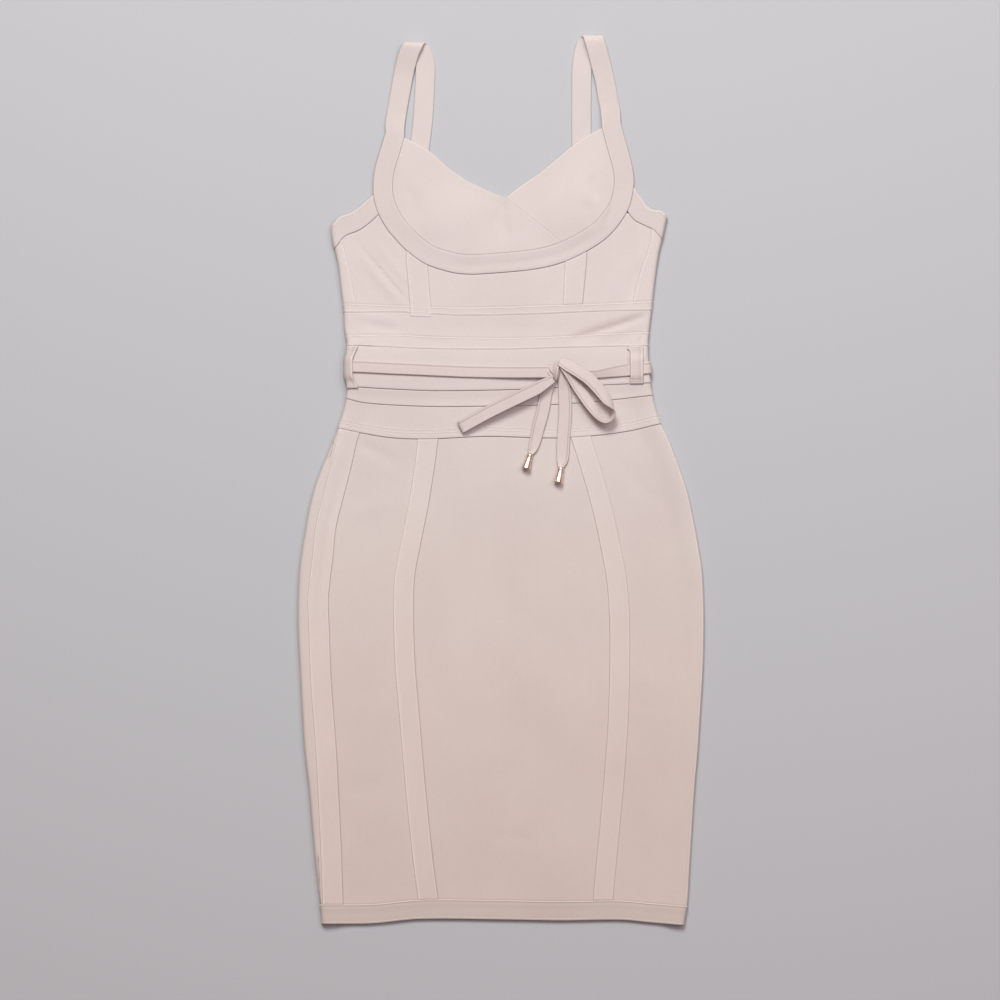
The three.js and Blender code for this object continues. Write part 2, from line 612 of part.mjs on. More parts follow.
// The knot as a closed grid of points on an ellipsoid, grown by a margin
function knotForm(margin) {
  const shape = new THREE.IcosahedronGeometry(1, KNOT_DETAIL);
  const merged = new Map();
  const position = shape.getAttribute("position");
  const index = [];
  const points = [];
  for (let i = 0; i < position.count; i += 1) {
    const p = new THREE.Vector3().fromBufferAttribute(position, i);
    const key = p.toArray().map((v) => v.toFixed(5)).join(",").replaceAll("-0.00000", "0.00000");
    if (!merged.has(key)) {
      merged.set(key, points.length / 3);
      points.push(
        KNOT.x + p.x * (KNOT.across + margin),
        KNOT.y + p.y * (KNOT.along + margin),
        KNOT.z + p.z * (KNOT.high + margin),
      );
    }
    index.push(merged.get(key));
  }
  const geometry = new THREE.BufferGeometry();
  geometry.setAttribute("position", new THREE.Float32BufferAttribute(points, 3));
  geometry.setIndex(index);
  geometry.computeVertexNormals();
  return geometry;
}

// Bodice: centre, two bands, two side fronts, two side panels, and the armhole bands
function bodice() {
  const bandMiddle = { left: curve(BODICE_BANDS, "y", "left"), right: curve(BODICE_BANDS, "y", "right") };
  const bandWidth = {
    left: curve(BODICE_BANDS, "y", "left_width"),
    right: curve(BODICE_BANDS, "y", "right_width"),
  };
  const bandEdge = (side, to) => (y) => bandMiddle[side](y) + (to * bandWidth[side](y)) / 2;
  const half = SEAM_GAP / 2;
  const seamLeft = curve(ARMHOLE_SEAM_LEFT, "across", "y");
  const seamRight = curve(ARMHOLE_SEAM_RIGHT, "across", "y");
  const kinkLeft = ARMHOLE_SEAM_LEFT.rows.at(-1)[0];
  const kinkRight = ARMHOLE_SEAM_RIGHT.rows[0][0];
  const top = (across) => {
    const armhole = across < 0 ? seamLeft(across) : seamRight(across);
    return Math.min(armhole - SEAM_GAP, bustEdgeY(across));
  };
  const sideLeft = curve(BODICE_SIDES, "y", "left");
  const sideRight = curve(BODICE_SIDES, "y", "right");
  const bottom = allRound(underbustTop);
  const levels = fractions(5);
  const front = (name, stations, rise) => {
    add(name, panel({ stations, bottom, top, levels, rise: () => rise }));
  };
  front("bodice_centre", (y) => spread(bandEdge("left", 1)(y) + half, bandEdge("right", -1)(y) - half, 12), 0);
  front("bodice_band_left", (y) => {
    return spread(bandEdge("left", -1)(y) + half, bandEdge("left", 1)(y) - half, 3);
  }, PANEL_BAND_RISE);
  front("bodice_band_right", (y) => {
    return spread(bandEdge("right", -1)(y) + half, bandEdge("right", 1)(y) - half, 3);
  }, PANEL_BAND_RISE);
  front("bodice_front_left", (y) => [
    ...spread(sideLeft(y) + half, kinkLeft, 8),
    ...spread(kinkLeft, bandEdge("left", -1)(y) - half, 5).slice(1),
  ], 0);
  front("bodice_front_right", (y) => [
    ...spread(bandEdge("right", 1)(y) + half, kinkRight, 6),
    ...spread(kinkRight, sideRight(y) - half, 8).slice(1),
  ], 0);
  front("bodice_side_left", (y) => [
    ...leftWrap(y),
    ...spread(leftRun(y, 0), sideLeft(y) - half, 5).slice(1),
  ], SIDE_PANEL_RISE);
  front("bodice_side_right", (y) => [
    ...spread(sideRight(y) + half, rightRun(y, 0), 6).slice(0, -1),
    ...rightWrap(y),
  ], SIDE_PANEL_RISE);
  const foldEnd = FOLD_LENGTH + 4;
  const insideLeft = bustEdgeX(-1);
  const insideRight = bustEdgeX(1);
  add("armhole_band_left", panel({
    stations: (y) => [
      leftRun(y, foldEnd),
      ...spread(leftRun(y, FOLD_LENGTH), leftRun(y, 0), 6),
      ...spread(leftRun(y, 0), leftRun(y, -6), 4).slice(1),
      ...spread(leftRun(y, -6), insideLeft(y) - half, 9).slice(1),
    ],
    bottom: seamLeft,
    top: curve(ARMHOLE_EDGE_LEFT, "across", "y"),
    levels: fractions(2),
    rise: () => BAND_RISE,
  }));
  add("armhole_band_right", panel({
    stations: (y) => [
      ...spread(insideRight(y) + half, rightRun(y, -6), 9).slice(0, -1),
      ...spread(rightRun(y, -6), rightRun(y, 0), 4).slice(0, -1),
      ...spread(rightRun(y, 0), rightRun(y, FOLD_LENGTH), 6),
      rightRun(y, foldEnd),
    ],
    bottom: seamRight,
    top: curve(ARMHOLE_EDGE_RIGHT, "across", "y"),
    levels: fractions(2),
    rise: () => BAND_RISE,
  }));
}

// Waist: six pieces that each run across the front and round both sides
function waist() {
  const plain = () => THIN_RISE;
  const banded = () => PANEL_BAND_RISE;
  const tucked = (level) => THIN_RISE + TUCK_RISE * (1 - level) ** 4;
  const pieces = [
    { name: "underbust_band", top: underbustTop, bottom: underbustBottom, levels: [0, 1], rise: banded },
    { name: "midriff", top: underbustBottom, bottom: midriffBottom, levels: [0, 0.5, 1], rise: plain },
    { name: "waist_tape", top: midriffBottom, bottom: tapeBottom, levels: [0, 0.5, 1], rise: banded },
    { name: "belt_panel", top: tapeBottom, bottom: tuckOne, levels: [0, 0.12, 0.3, 0.65, 1], rise: tucked },
    { name: "tuck_strip", top: tuckOne, bottom: tuckTwo, levels: [0, 0.25, 1], rise: tucked },
    { name: "waist_band", top: tuckTwo, bottom: waistSeam, levels: [0, 0.15, 0.5, 1], rise: tucked },
  ];
  for (const { name, top, bottom, levels, rise } of pieces) {
    add(name, panel({ stations: acrossFront, bottom, top, levels, rise }));
  }
}

// Skirt: centre, two curved bands, side fronts, side bands, and the hem all round
function skirt() {
  const middle = { left: curve(SKIRT_BANDS, "y", "left"), right: curve(SKIRT_BANDS, "y", "right") };
  const edge = (side, to) => (y) => middle[side](y) + (to * BAND_WIDTH) / 2;
  const inner = curve(SIDE_BAND_INNER, "y", "x");
  const half = SEAM_GAP / 2;
  const bottom = allRound(hemSeam);
  const top = allRound(waistSeam);
  const levels = fractions(16);
  const strip = (name, stations, rise = 0) => {
    add(name, panel({ stations, bottom, top, levels, rise: () => rise }));
  };
  strip("skirt_centre", (y) => spread(edge("left", 1)(y) + half, edge("right", -1)(y) - half, 8));
  strip("skirt_band_left", (y) => {
    return spread(edge("left", -1)(y) + half, edge("left", 1)(y) - half, 2);
  }, SKIRT_BAND_RISE);
  strip("skirt_band_right", (y) => {
    return spread(edge("right", -1)(y) + half, edge("right", 1)(y) - half, 2);
  }, SKIRT_BAND_RISE);
  strip("skirt_front_left", (y) => spread(inner(y) + half, edge("left", -1)(y) - half, 6));
  strip("skirt_side_band_left", (y) => {
    return spread(inner(y) - SIDE_BAND_WIDTH + half, inner(y) - half, 3);
  }, SKIRT_BAND_RISE);
  strip("skirt_front_right", (y) => [
    ...spread(edge("right", 1)(y) + half, rightRun(y, 0), 7).slice(0, -1),
    rightRun(y, 0),
    rightRun(y, SIDE_SEAM_RUN / 2),
    rightRun(y, SIDE_SEAM_RUN - half),
  ]);
  const bandEnd = SIDE_SEAM_RUN + SIDE_BAND_WIDTH;
  strip("skirt_side_band_right", (y) => [
    ...spread(rightRun(y, SIDE_SEAM_RUN + half), rightRun(y, FOLD_LENGTH), 5),
    rightRun(y, bandEnd - half),
  ], THIN_RISE);
  strip("back_skirt", (y) => {
    const backRight = rightRun(y, 0) - (bandEnd - FOLD_LENGTH) - half;
    return [
      ...spread(backRun(y, backRight), leftRun(y, FOLD_LENGTH), 8),
      ...spread(leftRun(y, FOLD_LENGTH), inner(y) - SIDE_BAND_WIDTH - half, 8).slice(1),
    ];
  });
  add("hem_band", panel({
    stations: (y) => {
      const backRight = rightRun(y, 0) - 2 * BACK_LAP;
      return [
        ...spread(backRun(y, backRight), leftRun(y, FOLD_LENGTH + BACK_LAP), 6).slice(0, -1),
        ...acrossFront(y),
      ];
    },
    bottom: (across, y) => bottom(across, y) - HEM_DEPTH - SEAM_GAP / 2,
    top: bottom,
    levels: fractions(2),
    rise: () => CUP_LAP_RISE,
    ring: true,
  }));
}

// Back: bodice and waist between the laps of the front pieces
function back() {
  const backStations = (y) => {
    const right = rightRun(y, 0) - BACK_LAP - SEAM_GAP / 2;
    const left = leftRun(y, 0) + BACK_LAP + SEAM_GAP / 2;
    return spread(backRun(y, right), backRun(y, left), 12);
  };
  const topEdge = curve(BACK_TOP, "x", "y");
  add("back_waist", panel({
    stations: backStations,
    bottom: allRound(waistSeam),
    top: allRound(underbustTop),
    levels: fractions(10),
  }));
  add("back_bodice", panel({
    stations: backStations,
    bottom: allRound(underbustTop),
    top: (across, y) => topEdge(leftRun(y, 0) + (leftRun(y, FOLD_LENGTH) - across)),
    levels: fractions(5),
  }));
}

// Belt: under the back, round both sides, and across the front to the knot, held by two carriers
function belt(knotRoom) {
  const low = (y, across) => {
    const round = smooth(foldTurn(y, across), 0, Math.PI / 2);
    return lerp(BELT_CLEAR_FRONT, BELT_CLEAR, round);
  };
  const high = (y, across) => low(y, across) + BELT_THICK;
  const half = BELT_WIDTH / 2;
  const about = (line) => ({
    bottom: (across) => line(across) - half,
    top: (across) => line(across) + half,
  });
  const levels = fractions(2);
  const backEnd = FOLD_LENGTH + BACK_LAP;
  const beltLeft = panel({
    stations: (y) => [
      ...leftWrap(y),
      ...rollRuns.map((run) => leftRun(y, run)).reverse(),
      ...spread(leftRun(y, -ROLL_WIDTH), BELT_KNOT_END, 12).slice(1),
    ],
    ...about(curve(BELT_LINE, "across", "y")),
    levels, low, high,
  });
  add("belt_left", clearOf(beltLeft, knotRoom), KNIT_SHADE);
  add("belt_right", panel({
    stations: (y) => [
      ...spread(134.9, rightRun(y, 0), 3).slice(0, -1),
      ...rightWrap(y),
    ],
    ...about(curve(BELT_LINE_RIGHT, "across", "y")),
    levels, low, high,
  }), KNIT_SHADE);
  add("belt_back", panel({
    stations: (y) => {
      const right = rightRun(y, 0) - BACK_LAP - SEAM_GAP / 2;
      return spread(backRun(y, right), leftRun(y, backEnd + SEAM_GAP / 2), 4);
    },
    ...about(() => BELT_Y),
    levels, low, high,
  }), KNIT_SHADE);
  const turned = table("x y z turn tilt wide", BELT_TURNED.rows.map(([x, y, lift, ...rest]) => {
    return [x, y, frontTop(x, y) + lift, ...rest];
  }));
  const frontRight = ribbon(turned, { thick: BOW_THICK, steps: 3 });
  add("belt_front_right", clearOf(frontRight, knotRoom), KNIT_SHADE);
  const carrier = (name, from, to, top, bottom) => {
    const bridge = (y) => {
      const away = smooth(Math.abs(y - BELT_Y + 1), BELT_WIDTH * 0.65, BELT_WIDTH * 1.25);
      return lerp(CARRIER_BRIDGE, CARRIER_SEAT, away);
    };
    add(name, panel({
      stations: () => spread(from, to, 5),
      bottom: () => bottom,
      top: () => top,
      levels: fractions(12),
      low: bridge,
      high: (y) => bridge(y) + CARRIER_THICK,
    }), KNIT_SHADE);
  };
  carrier("belt_carrier_left", -156, -146, 134, 92);
  carrier("belt_carrier_right", 129, 142, 134, 96);
}

// Bow: the knot, a loop to each side, two tails, and their metal ends
function bow(knotRoom) {
  add("bow_knot", knotForm(0), KNIT_SHADE);
  const pieces = [
    { name: "bow_loop_left", path: LOOP_LEFT, steps: 3 },
    { name: "bow_loop_right", path: LOOP_RIGHT, steps: 3 },
    { name: "belt_tail_left", path: TAIL_LEFT, steps: 2 },
    { name: "belt_tail_right", path: TAIL_RIGHT, steps: 2 },
  ];
  for (const { name, path, steps } of pieces) {
    add(name, clearOf(ribbon(path, { thick: BOW_THICK, steps }), knotRoom), KNIT_SHADE);
  }
  const profile = CORD_END_PROFILE.rows.map(([along, radius]) => new THREE.Vector2(radius, along));
  for (const { name, throat, lip } of CORD_ENDS) {
    const mesh = add(name, new THREE.LatheGeometry(profile, 16), ROSE_GOLD);
    const axis = new THREE.Vector3(...lip).sub(new THREE.Vector3(...throat)).normalize();
    mesh.position.set(...throat);
    mesh.quaternion.setFromUnitVectors(new THREE.Vector3(0, 1, 0), axis);
  }
}

back();
add("strap_left", strap(STRAP_LEFT, 0, -1));
add("strap_right", strap(STRAP_RIGHT, bust.length, 1));
add("bust_band", bustBand());
cups();
bodice();
waist();
skirt();
const knotRoom = solid(knotForm(SEAM_GAP));
belt(knotRoom);
bow(knotRoom);

export default part;
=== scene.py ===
import math

import bpy
import numpy as np
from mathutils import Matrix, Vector


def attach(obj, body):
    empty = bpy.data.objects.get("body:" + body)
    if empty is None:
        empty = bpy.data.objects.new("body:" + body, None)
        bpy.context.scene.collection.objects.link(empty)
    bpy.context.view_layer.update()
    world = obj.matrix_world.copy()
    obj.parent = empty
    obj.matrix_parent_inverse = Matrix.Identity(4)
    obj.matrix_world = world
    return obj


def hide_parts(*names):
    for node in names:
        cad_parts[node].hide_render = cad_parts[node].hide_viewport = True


bl_info = {
    "name": "Bodycon dress laid flat",
    "version": (1, 0, 0),
    "blender": (4, 5, 0),
    "location": "3D View > Sidebar > Dress",
    "description": "Knit panels, seams, stitching, belt, bow and metal ends of a dress laid flat",
    "category": "Object",
}

# Millimetres in every table and formula, metres in the meshes. x runs across the dress, y from the
# hem to the straps, z up from the surface that it lies on.

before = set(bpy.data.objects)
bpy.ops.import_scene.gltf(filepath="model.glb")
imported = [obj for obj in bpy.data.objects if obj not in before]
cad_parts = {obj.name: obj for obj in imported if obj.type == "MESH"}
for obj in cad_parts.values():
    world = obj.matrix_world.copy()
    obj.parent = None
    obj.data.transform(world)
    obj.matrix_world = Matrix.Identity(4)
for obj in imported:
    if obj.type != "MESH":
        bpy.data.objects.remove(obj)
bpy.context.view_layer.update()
MM = 0.001

# Cloth, seams and trims
CLOTH = 1.6
LAY_GAP = 0.6
BAND_WIDTH = 20.0
SIDE_BAND_WIDTH = 20.3
HEM_DEPTH = 19.65
HEM_BEHIND = 1.2
BAND_LAP = 10.4
STRAP_WIDTH = 19.5
STRAP_THICK = 2.2
STRAP_EASE = 25.0
BUST_SEAM = 9.85

# Side folds and the laps on the back
FOLD_RADIUS = 3.6
ROLL_WIDTH = 26.0
BACK_LAP = 20.0
SIDE_SEAM_RUN = 3.2
FOLD_LENGTH = math.pi * FOLD_RADIUS
LAP_RUN = FOLD_LENGTH + BACK_LAP

# Belt and bow
BELT_THICK = 2.0
BELT_HALF = 6.0
BELT_LIFT = 2.4
BELT_Y = 113.0
BELT_CLEAR = 0.4
BELT_CLEAR_FRONT = 0.6
BELT_LIFT_NEAR = 7.0
BELT_LIFT_FAR = 42.0
BOW_THICK = 1.4
RIBBON_WIDTH = 12.0
CARRIER_THICK = 1.2
CARRIER_STANDS = (4.2, 2.1)
BELT_END = 52.5
BELT_KNOT_LIFT = 2.6

# Levels of the layers under the front, and how far the seams on the back take to level out
UNDERARM_Y = 262.0
NECK_Y = 300.0
BACK_TOP_Y = 235.0
STRAP_FOOT_Y = 258.0
NO_BACK_SINK = 1.1
STRAP_BEHIND = (38.0, 60.0, 98.0, 114.0)
BACK_LEVEL = 120.0

# How far the pieces stand out from the plain cloth
BAND_RISE = 0.6
PANEL_BAND_RISE = 0.5
SIDE_PANEL_RISE = 0.3
SKIRT_BAND_RISE = 0.7
TUCK_RISE = 0.7
LAP_RISE = 0.5
HEM_RISE = 0.4
THIN_RISE = 0.1
TAPE_RISE = 0.25

# Radius of a free edge
FREE_ROLL = 0.75

# Grid steps: over the front, on the small bodice pieces, on the back, round the folds, along a ribbon
# and close to a sewn edge; and how often a panel's heights and places across are worked out
STEP = 3.0
BODICE_STEP = 1.5
BACK_STEP = 6.0
FOLD_STEP = 1.2
RIBBON_STEP = 1.0
RIM = np.array([0, 0.15, 0.4, 0.8, 1.3, 2.0, 3.0])
SOLVE_ROUNDS = 12

# Stage in metres: lights by name, place, size, power and tint, all turned to one place
CAMERA_AT = (-0.001, -0.020)
SENSOR = 36.0
FRONT_HEIGHT = 0.004
LIGHTS = (
    ("key_light", (-0.45, 2.2, 2.75), 1.3, 98.0, (0.965, 1.0, 0.985)),
    ("fill_light", (1.35, 1.1, 2.7), 1.8, 30.0, (1.0, 0.98, 1.0)),
    ("glint_light", (0.08, -0.05, 1.9), 0.9, 3.0, (1.0, 1.0, 1.0)),
)
LIGHTS_AIM = (0.0, -0.02, 0.0)
ROOM_TINT = (1.0, 0.69, 0.7, 1.0)
ROOM_STRENGTH = 0.2

# The floor in millimetres: half its side, and how far it lies under the dress
FLOOR_HALF = 4000.0
FLOOR_DROP = 0.2


def rows(names, *values):
    """A table as a dictionary: each name with its column."""
    return dict(zip(names.split(), np.array(values, float).T))


SIDE_EDGES = rows(
    "y left right", [-445, -179, 183], [-424, -181, 186.4], [-370, -186.8, 189.7], [-310, -192, 193.6],
    [-270, -196.5, 197], [-235, -198.7, 199.2], [-190, -201, 202], [-150, -203, 203], [-120, -203, 202.7],
    [-90, -201.5, 201], [-70, -199, 198], [-50, -195.5, 194.5], [-30, -192, 190.5], [-10, -187, 186],
    [10, -180, 179.3], [24, -174, 174], [40, -168, 168], [56, -161.8, 160], [72, -157, 155],
    [88, -154.2, 151], [112, -154, 148], [136, -154, 147], [150, -156.5, 148.3], [170, -157.5, 150.7],
    [190, -160, 152.7], [212, -162.5, 155.5], [228, -165.7, 158], [236, -168, 160], [246, -169.5, 162.3],
    [264, -169.5, 166])

UNDERBUST_TOP = rows("x y", [-155, 176.6], [-100, 174.5], [-35, 172.7], [40, 174.7], [110, 177], [150, 179])
UNDERBUST_BOTTOM = rows(
    "x y", [-155, 167.5], [-100, 167.8], [-40, 164.6], [40, 166.2], [100, 168.8], [150, 169.7])
MIDRIFF_BOTTOM = rows(
    "x y", [-153, 144.5], [-112, 145.6], [-62, 143.3], [7, 142.2], [49, 143.3], [90, 145.6], [115, 146.8],
    [149, 148])
TAPE_BOTTOM = rows(
    "x y", [-144, 134.2], [-112, 133], [-78, 131.4], [-34, 130.7], [7, 130.7], [49, 132], [94, 133],
    [139, 134])
TUCK_ONE = rows("x y", [-155, 93.6], [-115, 91.2], [-65, 89.3], [15, 90.5], [100, 94.8], [150, 97])
TUCK_TWO = rows(
    "x y", [-155, 81.5], [-135, 77], [-76, 73.7], [-20, 73.8], [55, 75.6], [114, 80.5], [150, 84.5])
WAIST_SEAM = rows(
    "x y", [-163, 52], [-141, 47.3], [-110, 42.3], [-75, 41], [-13, 43.6], [50, 42], [95, 44.5],
    [130, 49.4], [158, 56])
HEM_SEAM = rows(
    "x y", [-180, -424], [-130, -424], [-81, -419.5], [0, -420], [60, -421], [120, -420.3], [150, -423],
    [184, -425.5])
SIDE_BAND_INNER = rows(
    "y x", [-422.3, -157.9], [-371.3, -159.6], [-338, -161.2], [-271.7, -164.6], [-205.4, -169.5],
    [-145.7, -171.9], [-120, -172.7], [-102.9, -171.2], [-77.3, -168.1], [-47.8, -165.1], [-26.3, -160],
    [-2.9, -153.9], [22.7, -147.7], [40, -143.7], [46.7, -141.3])
SKIRT_BANDS = rows(
    "y left right", [-418, -73.1, 102.2], [-380, -78, 105.6], [-338, -82.6, 109.7], [-288, -87.3, 114],
    [-238, -91.5, 117.3], [-189, -95.6, 118.6], [-139, -97.5, 118.5], [-99, -96.6, 115.5],
    [-66, -90.8, 109.4], [-26, -82.8, 100.5], [14, -76.4, 89], [42, -72.8, 80])
BODICE_BANDS = rows(
    "y left right left_width right_width", [172, -80.3, 71.6, 21, 19.2], [220, -84.5, 75, 21, 21.7])
BODICE_SIDES = rows(
    "y left right", [178, -145.5, 131.6], [197, -149, 136.3], [211, -151.5, 140.2], [223, -154.5, 144.3],
    [239, -159, 150])
ARMHOLE_SEAM_LEFT = rows(
    "across y", [-168.7, 229.5], [-163, 234.9], [-159.2, 240.6], [-155, 244.4], [-142.7, 249.4],
    [-133.6, 255.5], [-122.5, 265.5])
ARMHOLE_EDGE_LEFT = rows(
    "across y", [-171.5, 254], [-166.5, 257.8], [-161.9, 262.8], [-150.4, 267.4], [-142.7, 272.3],
    [-134, 280], [-127.7, 285.5])
ARMHOLE_SEAM_RIGHT = rows(
    "across y", [125.6, 269.7], [132.8, 260.4], [141.7, 255.4], [150.6, 251], [155, 248], [158.5, 243.6],
    [163.3, 239])
ARMHOLE_EDGE_RIGHT = rows(
    "across y", [132.3, 294.2], [140.6, 281.4], [149.6, 271.2], [159.8, 269.3], [166.1, 264.8], [169, 264])
BACK_TOP = rows(
    "x y", [-140, 232], [-118, 244], [-99, 260.4], [-86.5, 262], [-74, 260.4], [-40, 246], [0, 238],
    [40, 246], [71, 260.4], [84, 262], [97, 260.4], [115, 250], [133, 240])
BUST_LINE = rows(
    "x y", [-106.2, 345.1], [-110.7, 330], [-115, 316], [-117.4, 305], [-118.2, 291], [-117, 281],
    [-113.5, 270], [-105.8, 256.4], [-97.2, 246.2], [-89.3, 237.9], [-79.7, 230.2], [-69.7, 224],
    [-58, 220], [-44.2, 216.5], [-30, 215.4], [-16.5, 216], [18.5, 218.8], [37.5, 221.4], [50, 224.2],
    [60.8, 227.7], [70.6, 232], [81.7, 237.7], [95.5, 246.5], [103.5, 253.6], [111.2, 263], [116.8, 271.8],
    [120.3, 280], [123, 295], [123, 304], [120.7, 317], [115.9, 334.2], [110.5, 354.5])
NECK_LEFT = [[-89, 338.5], [-70, 327.5], [-51, 311], [-35, 300], [-19, 292], [-3, 285], [4.5, 282.5]]
NECK_RIGHT = [[4.5, 282.5], [21, 295], [37, 306], [53, 319], [71.8, 334.4], [90, 346.5]]
CUP_LAP_END = (60.0, 238.5)
CUP_CORNER = (0.24, 0.79)

STRAP_LEFT = [
    [-106, 356, 2, -7], [-102.1, 380, 1.8, -9], [-97.7, 404, 2.6, -12], [-95, 416, 4.2, -14],
    [-91.7, 427, 6.2, -14], [-88, 434.5, 6.9, -8], [-86, 436.9, 4.2, 0], [-83.5, 435, 1.5, 8],
    [-79.5, 428, 1.1, 14], [-76, 415, 1.1, 6], [-76, 399, 1.1, -1], [-77, 378, 1.1, -3],
    [-78.4, 358, 1.1, -4], [-80.5, 340, 1.1, -5], [-84, 310, 1.1, -4], [-86, 275, 1.1, -2],
    [-86.5, 262.4, 1.1, 0]]
STRAP_RIGHT = [
    [109.6, 368, 1.9, 8], [106.7, 383.5, 1.8, 10], [104.2, 398, 2.4, 12], [99.9, 415.4, 4.2, 14],
    [96, 430, 6.4, 13], [93, 440, 6.9, 6], [91.3, 443.9, 4.2, 0], [88.5, 441, 1.5, -10],
    [84.5, 433, 1.1, -14], [81.3, 415, 1.1, -5], [80.6, 390, 1.1, 0], [80.5, 348, 1.1, 0],
    [81.5, 310, 1.1, 0], [84, 262.4, 1.1, 0]]

BELT_LINE = rows(
    "across y", [-165, 113], [-145, 113.5], [-112, 112], [-78, 110.5], [-34, 108.6], [7, 107.9], [45, 108],
    [52, 108])
BELT_LINE_RIGHT = rows("across y", [134, 110.8], [148, 112.2], [156, 113])
RIBBON = "x y z turn tilt wide"
BELT_TURNED = rows(
    RIBBON, [134.4, 110.8, 1.7, 91, 0, 12], [122, 109.3, 2.2, 97, 5, 11.6], [108, 107.4, 3.2, 100, 12, 9.6],
    [95, 105.7, 3.4, 97, 16, 7.8], [78, 106.6, 2.6, 90, 10, 6], [62, 108.2, 1.5, 84, 5, 5.2])
LOOP_LEFT = rows(
    RIBBON, [52, 101, 13.4, 117, 0, 8], [42, 95, 13.6, 117, 0, 11], [35, 91, 13.8, 117, 0, 12.5],
    [15.5, 81.5, 13.6, 117, 0, 12.5], [-12, 68, 12, 117, 0, 12.5], [-38, 53.8, 9.8, 117, 0, 12.5],
    [-40.5, 52.5, 8.2, 117, 0, 12.5], [-38, 53.8, 6.8, 117, 0, 12.5], [-12, 68, 8.6, 117, 0, 12.5],
    [15.5, 81.5, 10, 117, 0, 12.5], [35, 91, 11, 117, 0, 12], [42, 95, 11.2, 117, 0, 9],
    [50, 99.5, 11, 117, 0, 7])
LOOP_RIGHT = rows(
    RIBBON, [58.5, 118, 14, 240, 20, 9], [67, 114, 14.2, 237, 15, 12], [76, 109, 14.4, 232, 12, 12.5],
    [88, 100.5, 14, 228, 12, 12.5], [99.5, 88.5, 13.4, 222, 15, 12.5], [107.2, 77.6, 12.8, 214, 48, 12.5],
    [112.6, 68.4, 12, 192, 100, 12], [110.2, 61.2, 11.8, 150, 103, 12], [104.4, 58.6, 11.6, 95, 108, 12],
    [98.2, 62.6, 11, 52, 122, 12], [91.2, 72, 10.2, 35, 144, 12.5], [83.6, 82.8, 9.6, 31, 152, 12.5],
    [75, 94.8, 9.8, 31, 154, 11], [67.2, 105.2, 12, 33, 150, 8], [60.6, 112.6, 13.2, 36, 150, 5])
TAIL_LEFT = rows(
    RIBBON, [51, 98, 8.2, -24, 0, 8], [46, 88, 6.5, -22, 0, 11], [44.5, 84, 6.1, -16, 0, 12.5],
    [42, 70, 5.9, -13, 0, 12.5], [38, 55, 6.1, -16, 0, 12.5], [34.4, 40, 5.7, -17, 0, 11.3],
    [31.8, 31, 6.1, -19, 0, 8.8], [29.6, 26.2, 6.9, -17, 0, 5])
TAIL_RIGHT = rows(
    RIBBON, [59, 110, 9.6, 14, 0, 5], [60.4, 105, 9.2, 12, 0, 7], [61.8, 100, 8.6, 10, 0, 9.5],
    [62.8, 95, 7.7, 7, 0, 11.2], [63.6, 89, 6.8, 3, 0, 12.6], [64.3, 69, 5.9, -1, 0, 13],
    [62.6, 43, 5.7, -4, 0, 13], [61.8, 25, 5.6, -5, 0, 12.2], [61.1, 18.2, 6.0, -6, 0, 10.4],
    [60, 12.9, 6.9, -7, 0, 5.6])

# The knot: its core and the strands that wrap it
KNOT_CENTRE = (54.8, 107.4, 10.9)
KNOT_HALF = (4.0, 8.2, 4.2)
KNOT_STRAND = rows(
    RIBBON, [56.8, 117, 9.5, 8, 0, 4], [56.5, 114.6, 13.4, 8, 0, 3.2], [56, 110.5, 15.4, 8, 0, 2.8],
    [55.2, 105, 15.6, 10, 0, 2.6], [54.4, 100.5, 13.8, 10, 0, 2.8], [54, 97.5, 10.2, 10, 0, 3.2])
KNOT_ROLL = rows(
    RIBBON, [45.0, 114.5, 7.4, 30, -24, 3], [45.6, 111.5, 9.4, 34, -26, 3.6],
    [47.6, 107.8, 11, 42, -22, 3.8], [51.2, 104.6, 11.8, 56, -12, 3.6], [54.6, 102.6, 11.8, 64, 0, 3])
KNOT_ROLL_INNER = rows(
    RIBBON, [48.8, 115.2, 9.2, 28, -12, 3.4], [49.4, 112.6, 11.4, 28, -16, 3.8],
    [51, 109.6, 12.8, 36, -12, 3.8], [53.6, 106.8, 13.4, 48, -4, 3.4], [55.6, 105.2, 13.4, 50, 0, 3])

CORD_END_PROFILE = rows(
    "along radius", [0, 0], [0, 2.6], [0.3, 2.9], [1.0, 3.15], [1.8, 3.15], [2.6, 3.0], [4, 3.05], [6, 3.2],
    [8, 3.4], [10, 3.65], [12, 3.95], [13.4, 4.25], [14.1, 4.5], [14.9, 4.55], [15.4, 4.4], [15.5, 4.1],
    [15.5, 3.7], [15.1, 3.45], [14, 3.25], [13, 3.1], [13, 0])
CORD_ENDS = {
    "left": ((29.3, 26, 7.2), (24.5, 10.5, 8.6)),
    "right": ((60, 12.5, 7.2), (57, -2, 8.6)),
}

